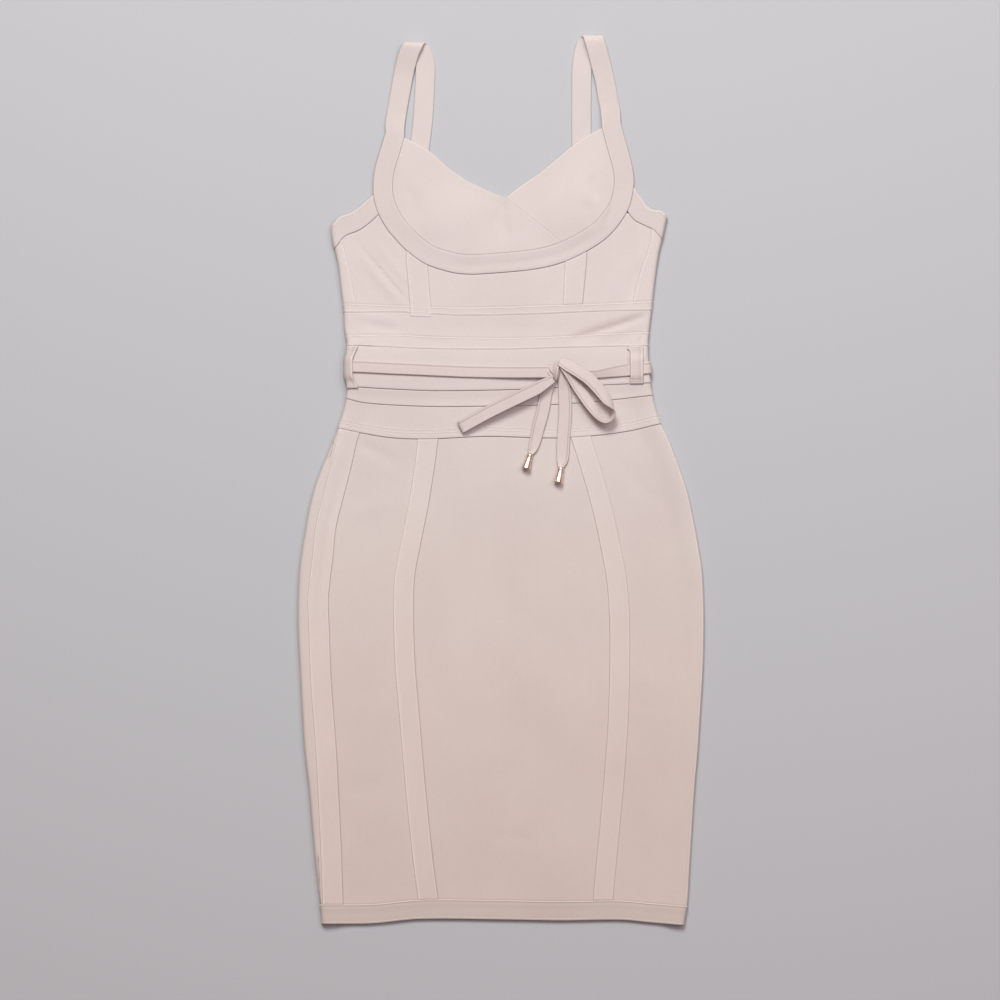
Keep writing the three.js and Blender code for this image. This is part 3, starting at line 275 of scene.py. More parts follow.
# Soft creases of the front: a line from one end to the other, its bow, half width and height
CREASES = rows(
    "x0 y0 x1 y1 bow wide high",
    # cups: two low domes, the dimple under the neck, ripples by the right strap
    [-92, 262, -14, 262, 0, 30, 2.4], [26, 272, 112, 282, 0, 30, 2.4], [0, 296, 4, 232, 0, 5, -1.5],
    [4, 281, -8, 250, 0, 2.8, -0.7], [90, 308, 99, 278, 2, 3.5, -0.9], [113, 298, 102, 252, -4, 3.0, -0.9],
    [82, 282, 94, 246, -2, 5, -0.7], [-98, 300, -84, 256, -3, 5, -0.6],
    # bodice: the crisp diagonal on the left, soft ones on the right and by the right band
    [-152, 250, -82, 168, 1, 0.9, -0.5], [-152, 238, -92, 168, 1, 5, 0.9], [-132, 246, -82, 186, 1, 4, 0.4],
    [138, 222, 128, 172, 0, 4, -1.0], [120, 226, 112, 172, 0, 8, 0.7], [56, 222, 52, 174, 0, 3.5, -0.6],
    [-30, 212, -34, 176, 0, 9, 0.4],
    # midriff and waist tape
    [62, 141, 158, 171, 1, 2.8, -1.2], [80, 139, 160, 163, 1, 5, 1.0], [62, 138, 110, 145, 0, 3.5, -0.6],
    [-148, 160, -92, 147, 0, 4, -0.7], [-150, 166, -100, 157, 0, 5, 0.5], [-94, 142, -44, 134, 0, 4, -0.4],
    [-150, 134.6, -122, 133.2, 0, 0.8, -0.5], [126, 135, 142, 143, 0, 0.8, -0.5],
    # skirt: the long soft hollow down the middle, hollows by the bands, a few broad waves
    [9, 46, 4, -150, 0, 8, -0.9], [6, -40, 2, -300, 3, 12, -0.9], [12, -240, 2, -390, 0, 10, -0.8],
    [98, -60, 98, -330, 6, 8, -0.7], [-148, 44, -96, 14, 2, 6, -0.7], [-160, -36, -104, -16, 3, 8, 0.4],
    [-158, -214, -100, -208, 0, 10, -0.3], [-162, -312, -110, -303, 0, 11, -0.25],
    [-20, -357, 36, -357, 0, 8, -0.3], [-58, -30, -48, -250, 0, 14, 0.8], [52, -50, 48, -320, 0, 13, 0.7],
    [150, -50, 152, -330, -6, 12, 0.7], [126, -228, 184, -225, 0, 5, -0.15], [-42, 44, -34, -40, 0, 9, 0.6],
    [120, 20, 170, -30, 4, 8, -0.5], [-60, -280, 40, -262, 6, 16, 0.3])


def smooth(v, low, high):
    """Eases from 0 at low to 1 at high."""
    t = np.clip((v - low) / (high - low), 0, 1)
    return t * t * (3 - 2 * t)


def mix(a, b, t):
    """A straight blend from a to b."""
    return a + (b - a) * t


def bell(d, middle, wide):
    """A bell curve of height 1 about a middle."""
    return np.exp(-(((d - middle) / wide) ** 2))


def hermite(at, value):
    """A smooth curve through the values: cubic between each two, with slopes taken across neighbours,
    and held level past both ends."""
    at, value = np.asarray(at, float), np.asarray(value, float)
    slope = np.gradient(value, at) if len(at) < 3 else np.empty_like(value)
    if len(at) > 2:
        slope[1:-1] = (value[2:] - value[:-2]) / (at[2:] - at[:-2])
        slope[[0, -1]] = (value[1] - value[0]) / (at[1] - at[0]), (value[-1] - value[-2]) / (at[-1] - at[-2])

    def curve(v):
        v = np.clip(v, at[0], at[-1])
        i = np.clip(np.searchsorted(at, v, side="right") - 1, 0, len(at) - 2)
        span = at[i + 1] - at[i]
        t = (v - at[i]) / span
        rest = 1 - t
        start = rest * rest * ((1 + 2 * t) * value[i] + t * span * slope[i])
        return start + t * t * ((3 - 2 * t) * value[i + 1] - rest * span * slope[i + 1])

    return curve


def track(table):
    """Distances of a table's places along it, and a function from distance to every column."""
    places = np.stack([table[k] if k in table else 0 * table["x"] for k in "xyz"], 1)
    distance = np.concatenate([[0], np.cumsum(np.linalg.norm(np.diff(places, axis=0), axis=1))])
    curves = {name: hermite(distance, column) for name, column in table.items()}
    return distance, lambda d: {name: curve(d) for name, curve in curves.items()}


def curve_of(table, column="y", over="x"):
    """A smooth curve of a table's column over another one."""
    return hermite(table[over], table[column])


left_edge = curve_of(SIDE_EDGES, "left", "y")
right_edge = curve_of(SIDE_EDGES, "right", "y")


def back_lift(y):
    """How far the belt under the back lifts the dress."""
    return BELT_LIFT * (1 - smooth(np.abs(y - BELT_Y), BELT_LIFT_NEAR, BELT_LIFT_FAR))


def crease_forms(x, y):
    """Each crease's height, half width and form: a bell across its bowed line, faded at its ends."""
    for x0, y0, x1, y1, bow, wide, high in zip(*CREASES.values()):
        length = math.hypot(x1 - x0, y1 - y0)
        along = ((x - x0) * (x1 - x0) + (y - y0) * (y1 - y0)) / length**2
        away = ((x - x0) * (y1 - y0) - (y - y0) * (x1 - x0)) / length
        away = away - bow * (1 - (2 * np.clip(along, 0, 1) - 1) ** 2)
        yield high, wide, bell(away, 0, wide) * smooth(along, 0, 0.35) * (1 - smooth(along, 0.65, 1))


def relief(x, y):
    """The sum of the creases."""
    return sum(high * form for high, _, form in crease_forms(x, y))


def crease_shade(x, y):
    """Painted shade in the depth of the sharp creases."""
    return sum(-0.3 * high * form for high, wide, form in crease_forms(x, y) if high < 0 and wide < 2.9)


def front_top(x, y):
    """Top of the plain front: it lies on the back or on the straps, and rises to the side folds."""
    lift = back_lift(y)
    start, full, wane, end = STRAP_BEHIND
    over_strap = smooth(np.abs(x), start, full) * (1 - smooth(np.abs(x), wane, end))
    strap = (STRAP_THICK - CLOTH) * smooth(y, BACK_TOP_Y, STRAP_FOOT_Y) * over_strap
    sunk = NO_BACK_SINK * smooth(y, UNDERARM_Y, NECK_Y) * (1 - over_strap)
    middle = lift + CLOTH + strap - sunk + LAY_GAP + CLOTH
    inward = np.minimum(x - left_edge(y), right_edge(y) - x) - FOLD_RADIUS
    roll = (1 + np.cos(math.pi * np.clip(inward / ROLL_WIDTH, 0, 1))) / 2
    top = middle + (lift + 2 * FOLD_RADIUS - middle) * roll * (1 - smooth(y, UNDERARM_Y, NECK_Y))
    return top + relief(x, y) * smooth(inward, -4, 10)


def left_run(y, run):
    """Where a run round the left side from the top of its fold has got to, measured like x."""
    return left_edge(y) + FOLD_RADIUS - run


def right_run(y, run):
    """The same measure for the right side."""
    return right_edge(y) - FOLD_RADIUS + run


def left_at(run):
    """The line that a run round the left side reaches, over the height."""
    return lambda y: left_run(y, run)


def right_at(run):
    """The same line on the right side."""
    return lambda y: right_run(y, run)


def back_end(lap):
    """The line that far short of the right fold on the back, reached round the left fold."""
    return lambda y: left_run(y, FOLD_LENGTH + right_run(y, 0) - lap - left_run(y, 0))


def past_front(y, across):
    """How far a place is past the front, round a side fold and on along the back."""
    return np.maximum(np.maximum(left_run(y, 0) - across, across - right_run(y, 0)), 0)


def fold_turn(y, across):
    """How far round a side fold a place is, from 0 on the front to pi on the back."""
    return np.minimum(past_front(y, across) / FOLD_RADIUS, math.pi)


def skin(y, across, out):
    """A place on the dress: flat over the front, half a circle round each side fold, flat on the back.
    out is its distance outside the plain cloth's outer face."""
    run, turn, radius = past_front(y, across), fold_turn(y, across), FOLD_RADIUS + out
    reach = radius * np.sin(turn) - np.maximum(run - FOLD_LENGTH, 0)
    folded = np.where(across < left_run(y, 0), left_run(y, 0) - reach, right_run(y, 0) + reach)
    round_z = back_lift(y) + FOLD_RADIUS + radius * np.cos(turn)
    x = np.where(run > 0, folded, across)
    z = np.where(run > 0, round_z, front_top(across, y) + out)
    return np.stack(np.broadcast_arrays(x, y, z), -1)


def all_round(seam):
    """A cross seam all round the dress: level round the folds, eased from side to side on the back."""
    first, last = seam(-1e9), seam(1e9)

    def at(across, y):
        fold_end = left_run(y, FOLD_LENGTH)
        x = left_run(y, 0) + fold_end - across
        return np.where(across > fold_end, seam(across), mix(first, last, smooth(x, -BACK_LEVEL, BACK_LEVEL)))

    return at


def hidden_hem(across, y):
    """The hem's seam all round: on the back it follows the front's waves, just behind them."""
    left, right = left_run(y, 0), right_run(y, 0)
    left_end, right_end = left_run(y, FOLD_LENGTH), right_run(y, FOLD_LENGTH)
    x = np.where(across < left_end, left + left_end - across, right + right_end - across)
    raised = hem_seam(x) + HEM_BEHIND * smooth(np.minimum(x - left, right - x), 0, 40)
    return np.where((across < left_end) | (across > right_end), raised, hem_seam(across))


def rolled(d, radius):
    """The drop of a rounded edge: a quarter circle from the edge inwards."""
    t = np.clip(1 - d / radius, 0, 1)
    return -radius * (1 - np.sqrt(1 - t * t))


# Edges of a piece: the height over the distance from it, how much shade is painted in its seam, and how much
# highlight is painted on its rim, tinted the thread's colour. A fold lies on a tuck and makes a dark line of
# painted shade; a fine or a sewn edge lies on an under one and makes a thin painted-shade line or a pale
# painted-highlight line, a faint one more so; a lap is a fold with a painted highlight on its rim; butt edges
# meet; an open edge is free, with a painted highlight on its roll.
EDGE_FORMS = {
    "fold": (lambda d: rolled(d, 0.7) + 0.22 * bell(d, 2.4, 1.5), 0.55, 0.1),
    "fine": (lambda d: rolled(d, 0.5) + 0.12 * bell(d, 2.0, 1.2), 0.3, 0.25),
    "sewn": (lambda d: rolled(d, 0.35) + 0.14 * bell(d, 0.9, 0.5) - 0.2 * bell(d, 1.9, 0.5), 0.05, 0.7),
    "tuck": (lambda d: -0.45 * bell(d, 0, 0.6), 0.3, 0.0),
    "under": (lambda d: -0.25 * bell(d, 0, 0.5), 0.1, 0.0),
    "faint": (lambda d: rolled(d, 0.2) + 0.06 * bell(d, 0.9, 0.5), 0.06, 0.35),
    "lap": (lambda d: rolled(d, 0.55) + 0.16 * bell(d, 2.2, 1.3), 0.4, 0.3),
    "butt": (lambda d: -0.35 * bell(d, 0, 0.5), 0.2, 0.0),
    "open": (lambda d: rolled(d, 0.8), 0.0, 0.3),
    "plain": (lambda d: 0 * d, 0.0, 0.0),
}


def edge_shade(kind, d):
    """Painted shade in an edge's seam at a distance, below 0 where its rim gets a painted highlight."""
    _, dark, light = EDGE_FORMS[kind]
    return dark * bell(d, 0, 0.4) - light * bell(d, 0.95, 0.45)


def lines(length, step, first, last):
    """Grid lines of one stretch, as shares of it and offsets: close together at its sewn ends."""
    before, after = RIM[-1] * first, RIM[-1] * last
    share = np.linspace(0, 1, max(round((length - before - after) / step), 1) + 1)
    offset = before * (1 - share) - after * share
    head, tail = (RIM[:-1] if first else RIM[:0]), (-RIM[:-1][::-1] if last else RIM[:0])
    return np.concatenate([0 * head, share, 0 * tail + 1]), np.concatenate([head, offset, tail])


class Panel:
    """A piece of cloth between two long edges, which depend on the height, and two cross lines. Its
    columns follow the stretches between the long edges and its rows the shares between the cross
    lines; a column's height and its place across are worked out in turns until they agree."""

    def __init__(self, stretches, bottom, top, depth, edges, rise=0.0, step=STEP, ring=False, shape=None):
        self.low, self.high = stretches[0][0], stretches[-1][1]
        self.bottom, self.top, self.ring = bottom, top, ring
        self.edges = dict(zip(("left", "right", "bottom", "top"), edges.split()))
        self.rise, self.shape = rise, shape
        self.stretches = []
        for k, (low, high, length, pace) in enumerate(stretches):
            share, offset = lines(length, pace, k == 0 and not ring, k == len(stretches) - 1 and not ring)
            drop = int(k > 0)
            self.stretches.append((low, high, share[drop:], offset[drop:]))
        if ring:
            low, high, share, offset = self.stretches[-1]
            self.stretches[-1] = (low, high, share[:-1], offset[:-1])
        share, offset = lines(depth, step, True, True)
        count = sum(len(s[2]) for s in self.stretches)
        self.y = np.repeat(mix(bottom(0.0, 0.0), top(0.0, 0.0), share)[:, None], count, 1)
        for _ in range(SOLVE_ROUNDS):
            self.across = self._columns(self.y)
            low, high = bottom(self.across, self.y), top(self.across, self.y)
            self.y = mix(low, high, share[:, None]) + offset[:, None]
        self.across = self._columns(self.y)

    def _columns(self, y):
        parts, start = [], 0
        for low, high, share, offset in self.stretches:
            part = y[:, start : start + len(share)]
            parts.append(mix(low(part), high(part), share) + offset)
            start += len(share)
        return np.concatenate(parts, 1)

    def distances(self, across, y):
        """How far a place is from each edge, square to it: the difference times the lean's cosine."""

        def square(edge, at):
            lean = edge(at + 0.5) - edge(at - 0.5)
            return 1 / np.sqrt(1 + lean * lean)

        return {
            "left": (across - self.low(y)) * square(self.low, y),
            "right": (self.high(y) - across) * square(self.high, y),
            "bottom": (y - self.bottom(across, y)) * square(lambda a: self.bottom(a, y), across),
            "top": (self.top(across, y) - y) * square(lambda a: self.top(a, y), across),
        }

    def out(self, across, y):
        """Height over the plain cloth: the piece's rise and its edge forms, faded on the back."""
        away = self.distances(across, y)
        share = away["bottom"] / (away["bottom"] + away["top"])
        front = (1 + np.cos(fold_turn(y, across))) / 2
        rise = self.rise(share) if callable(self.rise) else self.rise
        form = sum(EDGE_FORMS[self.edges[side]][0](away[side]) for side in away)
        if self.shape:
            form = form + self.shape(across, y, away)
        return rise * front + np.where(form > 0, form * front, form)

    def seam_shade(self):
        """Painted shade deep in a seam or a sharp crease, and painted highlight near a light rim, at each
        place.
        """
        away = self.distances(self.across, self.y)
        creases = crease_shade(self.across, self.y) * (fold_turn(self.y, self.across) < 0.1)
        return sum(edge_shade(self.edges[side], away[side]) for side in away) + creases

    def faces(self):
        """The outer and the inner face; free edges are rounded on both."""
        away = self.distances(self.across, self.y)
        free = sum(rolled(away[side], FREE_ROLL) for side in away if self.edges[side] == "open")
        outer = skin(self.y, self.across, self.out(self.across, self.y))
        return outer, skin(self.y, self.across, -CLOTH - free)

    def along(self, side, inset, pitch):
        """Places at an even pitch along an edge, inset from it, with the direction and the normal."""
        share = np.linspace(0, 1, 240)
        y = mix(self.bottom(0.0, 0.0), self.top(0.0, 0.0), 0.5) + 0 * share
        across = 0 * share
        for _ in range(SOLVE_ROUNDS):
            if side in ("left", "right"):
                edge, sign = (self.low, 1) if side == "left" else (self.high, -1)
                lean = edge(y + 0.5) - edge(y - 0.5)
                across = edge(y) + sign * inset * np.sqrt(1 + lean * lean)
                y = mix(self.bottom(across, y), self.top(across, y), share)
            else:
                edge, sign = (self.bottom, 1) if side == "bottom" else (self.top, -1)
                across = mix(self.low(y), self.high(y), share)
                lean = edge(across + 0.5, y) - edge(across - 0.5, y)
                y = edge(across, y) + sign * inset * np.sqrt(1 + lean * lean)
        place = skin(y, across, self.out(across, y))
        run = np.concatenate([[0], np.cumsum(np.linalg.norm(np.diff(place, axis=0), axis=1))])
        at = np.arange(pitch / 2, run[-1], pitch)
        across, y = np.interp(at, run, across), np.interp(at, run, y)
        out = self.out(across, y)

        def ahead(step):
            return np.stack([np.interp(at + step, run, place[:, k]) for k in range(3)], 1)

        def step_over(a, b):
            return skin(y + b, across + a, out) - skin(y - b, across - a, out)

        normal = unit(np.cross(step_over(0.3, 0), step_over(0, 0.3)))
        return skin(y, across, out), unit(ahead(0.5) - ahead(-0.5)), normal


def unit(v):
    """Vectors of length 1."""
    return v / np.maximum(np.linalg.norm(v, axis=-1, keepdims=True), 1e-12)


def make_piece(name, points, faces, material, uv=None, values=None):
    """A mesh object from points in mm and arrays of faces, with a cloth map and point values."""
    mesh = bpy.data.meshes.new(name)
    mesh.vertices.add(len(points))
    mesh.vertices.foreach_set("co", (points * MM).astype(np.float32).ravel())
    corners = np.concatenate([f.ravel() for f in faces]).astype(np.int32)
    sizes = np.concatenate([np.full(len(f), f.shape[1]) for f in faces])
    mesh.loops.add(len(corners))
    mesh.loops.foreach_set("vertex_index", corners)
    mesh.polygons.add(len(sizes))
    mesh.polygons.foreach_set("loop_start", (np.cumsum(sizes) - sizes).astype(np.int32))
    mesh.polygons.foreach_set("use_smooth", np.ones(len(sizes), bool))
    mesh.update(calc_edges=True)
    if uv is not None:
        layer = mesh.uv_layers.new(name="cloth")
        layer.uv.foreach_set("vector", (uv[corners] * MM * 10).astype(np.float32).ravel())
    for key, value in (values or {}).items():
        mesh.attributes.new(key, "FLOAT", "POINT").data.foreach_set("value", value.astype(np.float32).ravel())
    mesh.materials.append(material)
    made = bpy.data.objects.new(name, mesh)
    bpy.context.scene.collection.objects.link(made)
    return made


def grid_quads(i):
    """The quads of a grid of point numbers."""
    return np.stack([i[:-1, :-1], i[:-1, 1:], i[1:, 1:], i[1:, :-1]], -1).reshape(-1, 4)


def shell(outer, inner, ring=False):
    """Points and quads of a closed wall between two grids: both faces and the rim between them."""
    count, wide = outer.shape[:2]
    index = np.arange(count * wide).reshape(count, wide)
    if ring:
        index = np.concatenate([index, index[:, :1]], 1)
    under = index + count * wide

    def rim(pick):
        return grid_quads(np.stack([pick(under), pick(index)]))

    parts = [grid_quads(index), grid_quads(under)[:, ::-1], rim(lambda i: i[0]), rim(lambda i: i[-1][::-1])]
    if not ring:
        parts += [rim(lambda i: i[:, -1]), rim(lambda i: i[::-1, 0])]
    return np.concatenate([outer.reshape(-1, 3), inner.reshape(-1, 3)]), [np.concatenate(parts)]


def tube_faces(rings, sides):
    """The faces of a tube with a pole at each end: its points come ring by ring, then the poles."""
    index = np.arange(rings * sides).reshape(rings, sides)
    index = np.concatenate([index, index[:, :1]], 1)
    pole = 0 * index[0, 1:] + rings * sides
    head = np.stack([pole, index[0, :-1], index[0, 1:]], 1)
    tail = np.stack([pole + 1, index[-1, 1:], index[-1, :-1]], 1)
    return [grid_quads(index)[:, ::-1], np.concatenate([head, tail])]


def cut_size(face, ring=False):
    """The flat size of a face in metres: its longest row, its longest column, and its area."""
    if ring:
        face = np.concatenate([face, face[:, :1]], 1)
    across = np.linalg.norm(np.diff(face, axis=1), axis=2).sum(1).max()
    along = np.linalg.norm(np.diff(face, axis=0), axis=2).sum(0).max()
    one, two = face[1:, 1:] - face[:-1, :-1], face[1:, :-1] - face[:-1, 1:]
    area = np.linalg.norm(np.cross(one, two), axis=2).sum() / 2
    flat = (round(across * MM, 3), round(along * MM, 3))
    return flat, min(round(area * MM * MM, 6), 0.999 * flat[0] * flat[1])


def stand_in(made, slot, *nodes):
    """Puts a piece on the body in place of its nodes; its slot is not used."""
    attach(made, "root")
    if nodes:
        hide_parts(*nodes)


def sew(node, faces, finish, ring=False, also=()):
    """Makes a cloth piece from its two faces, cloth map and seam shade, and works out its cut's size."""
    outer, inner, uv, shade = faces
    points, walls = shell(outer, inner, ring)
    made = make_piece(
        node + "_cloth", points, walls, finish_of(finish), np.tile(uv.reshape(-1, 2), (2, 1)),
        {"seam_shade": np.tile(shade.ravel(), 2)})
    stand_in(made, "belt_knit" if finish == "belt" else "dress_knit", node, *also)
    flat, area = cut_size(outer, ring)


SEWN_PANELS = {}


def sew_panel(name, finish, panel, upright=False):
    """A panel of the dress, kept for its stitches. Its knit map goes across and up it or, for an
    upright band, up and across."""
    SEWN_PANELS[name] = panel
    pair = (panel.y, panel.across) if upright else (panel.across, panel.y)
    sew(name, (*panel.faces(), np.stack(pair, -1), panel.seam_shade()), finish, panel.ring)


def left_wrap(end=LAP_RUN):
    """Stretches from the lap on the back round the left fold to its top."""
    return [
        (left_at(end), left_at(FOLD_LENGTH), end - FOLD_LENGTH, STEP),
        (left_at(FOLD_LENGTH), left_at(0), FOLD_LENGTH, FOLD_STEP)]


def right_wrap(end=LAP_RUN):
    """Stretches from the top of the right fold round it to the lap on the back."""
    return [
        (right_at(0), right_at(FOLD_LENGTH), FOLD_LENGTH, FOLD_STEP),
        (right_at(FOLD_LENGTH), right_at(end), end - FOLD_LENGTH, STEP)]


def level(value):
    """A straight upright edge."""
    return lambda y: value + 0 * np.asarray(y)


def cross(seam):
    """A cross line that is the same curve at any height."""
    return lambda across, y: seam(across)


underbust_top, underbust_bottom, midriff_bottom, tape_bottom = map(
    curve_of, (UNDERBUST_TOP, UNDERBUST_BOTTOM, MIDRIFF_BOTTOM, TAPE_BOTTOM))
tuck_one, tuck_two, waist_seam, hem_seam = map(curve_of, (TUCK_ONE, TUCK_TWO, WAIST_SEAM, HEM_SEAM))

bust_distance, bust_at = track(BUST_LINE)
BUST_LENGTH = bust_distance[-1]


def bust_frame(d):
    """Middle, direction and outward side of the strip round the cups at distances along it."""
    middle, before, after = bust_at(d), bust_at(d - 0.5), bust_at(d + 0.5)
    along = unit(np.stack([after["x"] - before["x"], after["y"] - before["y"]], -1))
    return np.stack([middle["x"], middle["y"]], -1), along, np.stack([along[..., 1], -along[..., 0]], -1)


def bust_point(d, out):
    """A place at a distance along the strip and to the outside of its middle."""
    middle, _, outward = bust_frame(d)
    return middle + outward * np.asarray(out)[..., None]


def bust_inner(d):
    """A place, or places, on the cups' seam at distances along the strip."""
    return bust_point(np.asarray(d), np.full(np.shape(d), -BUST_SEAM))


BUST_OUTER = bust_point(np.linspace(0, BUST_LENGTH, 241), np.full(241, BUST_SEAM))


def bust_edge_y():
    """The strip's outer edge under the cups, as a height over the place across."""
    points = BUST_OUTER[BUST_OUTER[:, 0].argmin() : BUST_OUTER[:, 0].argmax() + 1]
    return hermite(points[:, 0], points[:, 1])


def bust_edge_x(side):
    """The strip's outer edge on the side of an armhole, as a place across over the height."""
    near = (BUST_OUTER[:, 0] * side > 110) & (BUST_OUTER[:, 1] > 245) & (BUST_OUTER[:, 1] < 310)
    points = BUST_OUTER[near]
    points = points[np.argsort(points[:, 1])]
    return hermite(points[:, 1], points[:, 0])


def strip_frames(table, sign):
    """A strap's middle, width direction and normal along its path; sign turns its width outwards."""
    distance, at = track(table)
    d = np.arange(0, distance[-1], RIBBON_STEP)
    d = np.append(d, distance[-1])
    now, before, after = at(d), at(np.maximum(d - 0.4, 0)), at(np.minimum(d + 0.4, distance[-1]))
    along = np.stack([after[k] - before[k] for k in "xyz"], -1)
    turn, tilt = np.radians(now["turn"]), np.radians(now["tilt"] if "tilt" in now else 0 * d)
    width = np.stack([np.cos(turn) * np.cos(tilt), np.sin(turn) * np.cos(tilt), np.sin(tilt)], -1)
    return d, np.stack([now[k] for k in "xyz"], -1), width * sign, unit(np.cross(width, along)), now


def strip_faces():
    """The strip: up from the back, over, down round the cups and up and over again. Round the cups its
    height follows the dress; a strap is a ribbon carried along its path, eased in over its start."""
    share, offset = lines(STRAP_WIDTH, 2.2, True, True)
    w = -STRAP_WIDTH / 2 + STRAP_WIDTH * share + offset
    inner_away, outer_away = w + STRAP_WIDTH / 2, STRAP_WIDTH / 2 - w
    open_form = rolled(inner_away, 1.0) + rolled(outer_away, 1.0)
    sewn_form = EDGE_FORMS["fine"][0](inner_away) + EDGE_FORMS["fold"][0](outer_away)
    # Painted shade along the strip's seams and painted highlight on the ridges beside them.
    shade = edge_shade("fine", inner_away) + edge_shade("fold", outer_away)
    d = np.linspace(0, BUST_LENGTH, round(BUST_LENGTH / STEP) + 1)
    place = bust_point(d[:, None] + 0 * w, w + 0 * d[:, None])
    x, y = place[..., 0], place[..., 1]
    window = smooth(x, -70, -20) * (1 - smooth(x, 80, 112)) * (y < UNDERARM_Y)
    outer = skin(y, x, BAND_RISE + sewn_form - 0.45 * bell(w, 0.5, 2.6) * window)
    parts = [(outer, skin(y, x, 0 * x - CLOTH), d, np.tile(shade, (len(d), 1)))]
    for table, end, sign in ((STRAP_LEFT, 0.0, -1), (STRAP_RIGHT, BUST_LENGTH, 1)):
        middle, along, _ = bust_frame(np.array([end]))
        turn = math.degrees(math.atan2(-along[0, 0] * sign, along[0, 1] * sign))
        z = skin(middle[0, 1], middle[0, 0], (BAND_RISE - CLOTH) / 2)[2]
        frames = strip_frames(rows("x y z turn", [*middle[0], z, turn], *table), sign)
        s, centre, width, normal = (values[1:] for values in frames[:4])
        ease = smooth(s, 0, STRAP_EASE)[:, None]
        base = centre[:, None] + width[:, None] * w[:, None]
        form, up = mix(sewn_form, open_form, ease), normal[:, None]
        outer = base + up * (STRAP_THICK / 2 + form)[..., None]
        inner = base - up * (STRAP_THICK / 2 + open_form * ease)[..., None]
        outer = mix(skin(base[..., 1], base[..., 0], BAND_RISE + form), outer, ease[..., None])
        inner = mix(skin(base[..., 1], base[..., 0], 0 * form - CLOTH), inner, ease[..., None])
        part = (outer, inner, end + sign * s, shade * (1 - ease))
        parts = [*parts, part] if sign > 0 else [[values[::-1] for values in part], *parts]
    outer, inner, run, shade = (np.concatenate(column) for column in zip(*parts))
    return outer, inner, np.stack(np.broadcast_arrays(run[:, None], w), -1), shade


def cup_faces(bottom, top, left, right, rise, edges):
    """A cup between four edges: each place blends the opposite edges and takes off the corners."""
    share, offset = lines(100, 2.2, True, True)
    s = (share + offset / 100)[None, :]
    t = s.T

    def blended(k):
        low, high = (np.asarray(edge(np.array([0.0, 1.0])))[:, k] for edge in (bottom, top))
        one, two, three, four = (
            np.asarray(edge(v))[..., k] for edge, v in ((left, t), (right, t), (bottom, s), (top, s)))
        return mix(one, two, s) + mix(three, four, t) - mix(mix(*low, s), mix(*high, s), t)

    x, y = blended(0), blended(1)
    run_s = np.pad(np.cumsum(np.hypot(np.diff(x, axis=1), np.diff(y, axis=1)), 1), ((0, 0), (1, 0)))
    run_t = np.pad(np.cumsum(np.hypot(np.diff(x, axis=0), np.diff(y, axis=0)), 0), ((1, 0), (0, 0)))
    away = {"left": run_s, "right": run_s[:, -1:] - run_s, "bottom": run_t, "top": run_t[-1:] - run_t}
    edges = dict(zip(("left", "right", "bottom", "top"), edges.split()))
    form = sum(EDGE_FORMS[kind][0](away[side]) for side, kind in edges.items())
    free = sum(rolled(away[side], FREE_ROLL) for side, kind in edges.items() if kind == "open")
    # Painted shade in the cups' seams and painted highlight on their ridges and open edge.
    shade = sum(edge_shade(kind, away[side]) for side, kind in edges.items())
    return skin(y, x, rise(s) + form), skin(y, x, -CLOTH - free + 0 * x), np.stack([x, y], -1), shade


def polyline(points):
    """A smooth path through places as a function of its share."""
    distance, at = track(rows("x y", *points))

    def along(share):
        place = at(np.asarray(share) * distance[-1])
        return np.stack([place["x"], place["y"]], -1)

    return along


def ribbon_faces(table, fold_line=2.0, pinch=0.0, seam_side=1):
    """A ribbon carried along a path: flat across its width, with both its edges rounded, and a fine
    seam groove a little inside one edge. Turn and tilt give the direction of its width."""
    d, centre, width, normal, now = strip_frames(table, 1)
    share, offset = lines(RIBBON_WIDTH, 2.0, True, True)
    u = -0.5 + share + offset / RIBBON_WIDTH
    wide = now["wide"][:, None]
    away, seam_away = (0.5 - np.abs(u)) * wide, (0.5 - seam_side * u) * wide
    half = BOW_THICK / 2 + rolled(away, BOW_THICK / 2 - 0.03)
    dished = pinch * (1 - (2 * u) ** 2)
    base = centre[:, None] + width[:, None] * (u * wide)[..., None]
    outer = base + normal[:, None] * (half - 0.22 * bell(seam_away, fold_line, 0.5) + dished)[..., None]
    inner = base - normal[:, None] * (half - dished)[..., None]
    uv = np.stack(np.broadcast_arrays(d[:, None], u * 12.5), -1)
    # Painted shade in the seam groove and along both rounded edges.
    return outer, inner, uv, 0.45 * bell(seam_away, fold_line, 0.45) + 0.3 * bell(away, 0, 0.4)


def lathe(profile, start, end, sides=56):
    """A profile of distance and radius, turned about the line from start to end, closed at its poles."""
    start, end = np.array(start, float), np.array(end, float)
    axis = unit(end - start)
    side = unit(np.cross(axis, [0.0, 0.0, 1.0]))
    turn = np.linspace(0, 2 * math.pi, sides, endpoint=False)
    ring = np.cos(turn)[:, None] * side + np.sin(turn)[:, None] * np.cross(side, axis)
    along, radius = profile["along"], profile["radius"]
    body = start + along[1:-1, None, None] * axis + radius[1:-1, None, None] * ring
    poles = start + along[[0, -1], None] * axis
    return np.concatenate([body.reshape(-1, 3), poles]), tube_faces(len(body), sides)


STITCH_RINGS = np.array([-0.6, 0.0, 0.6])
STITCH_SIDES = 5


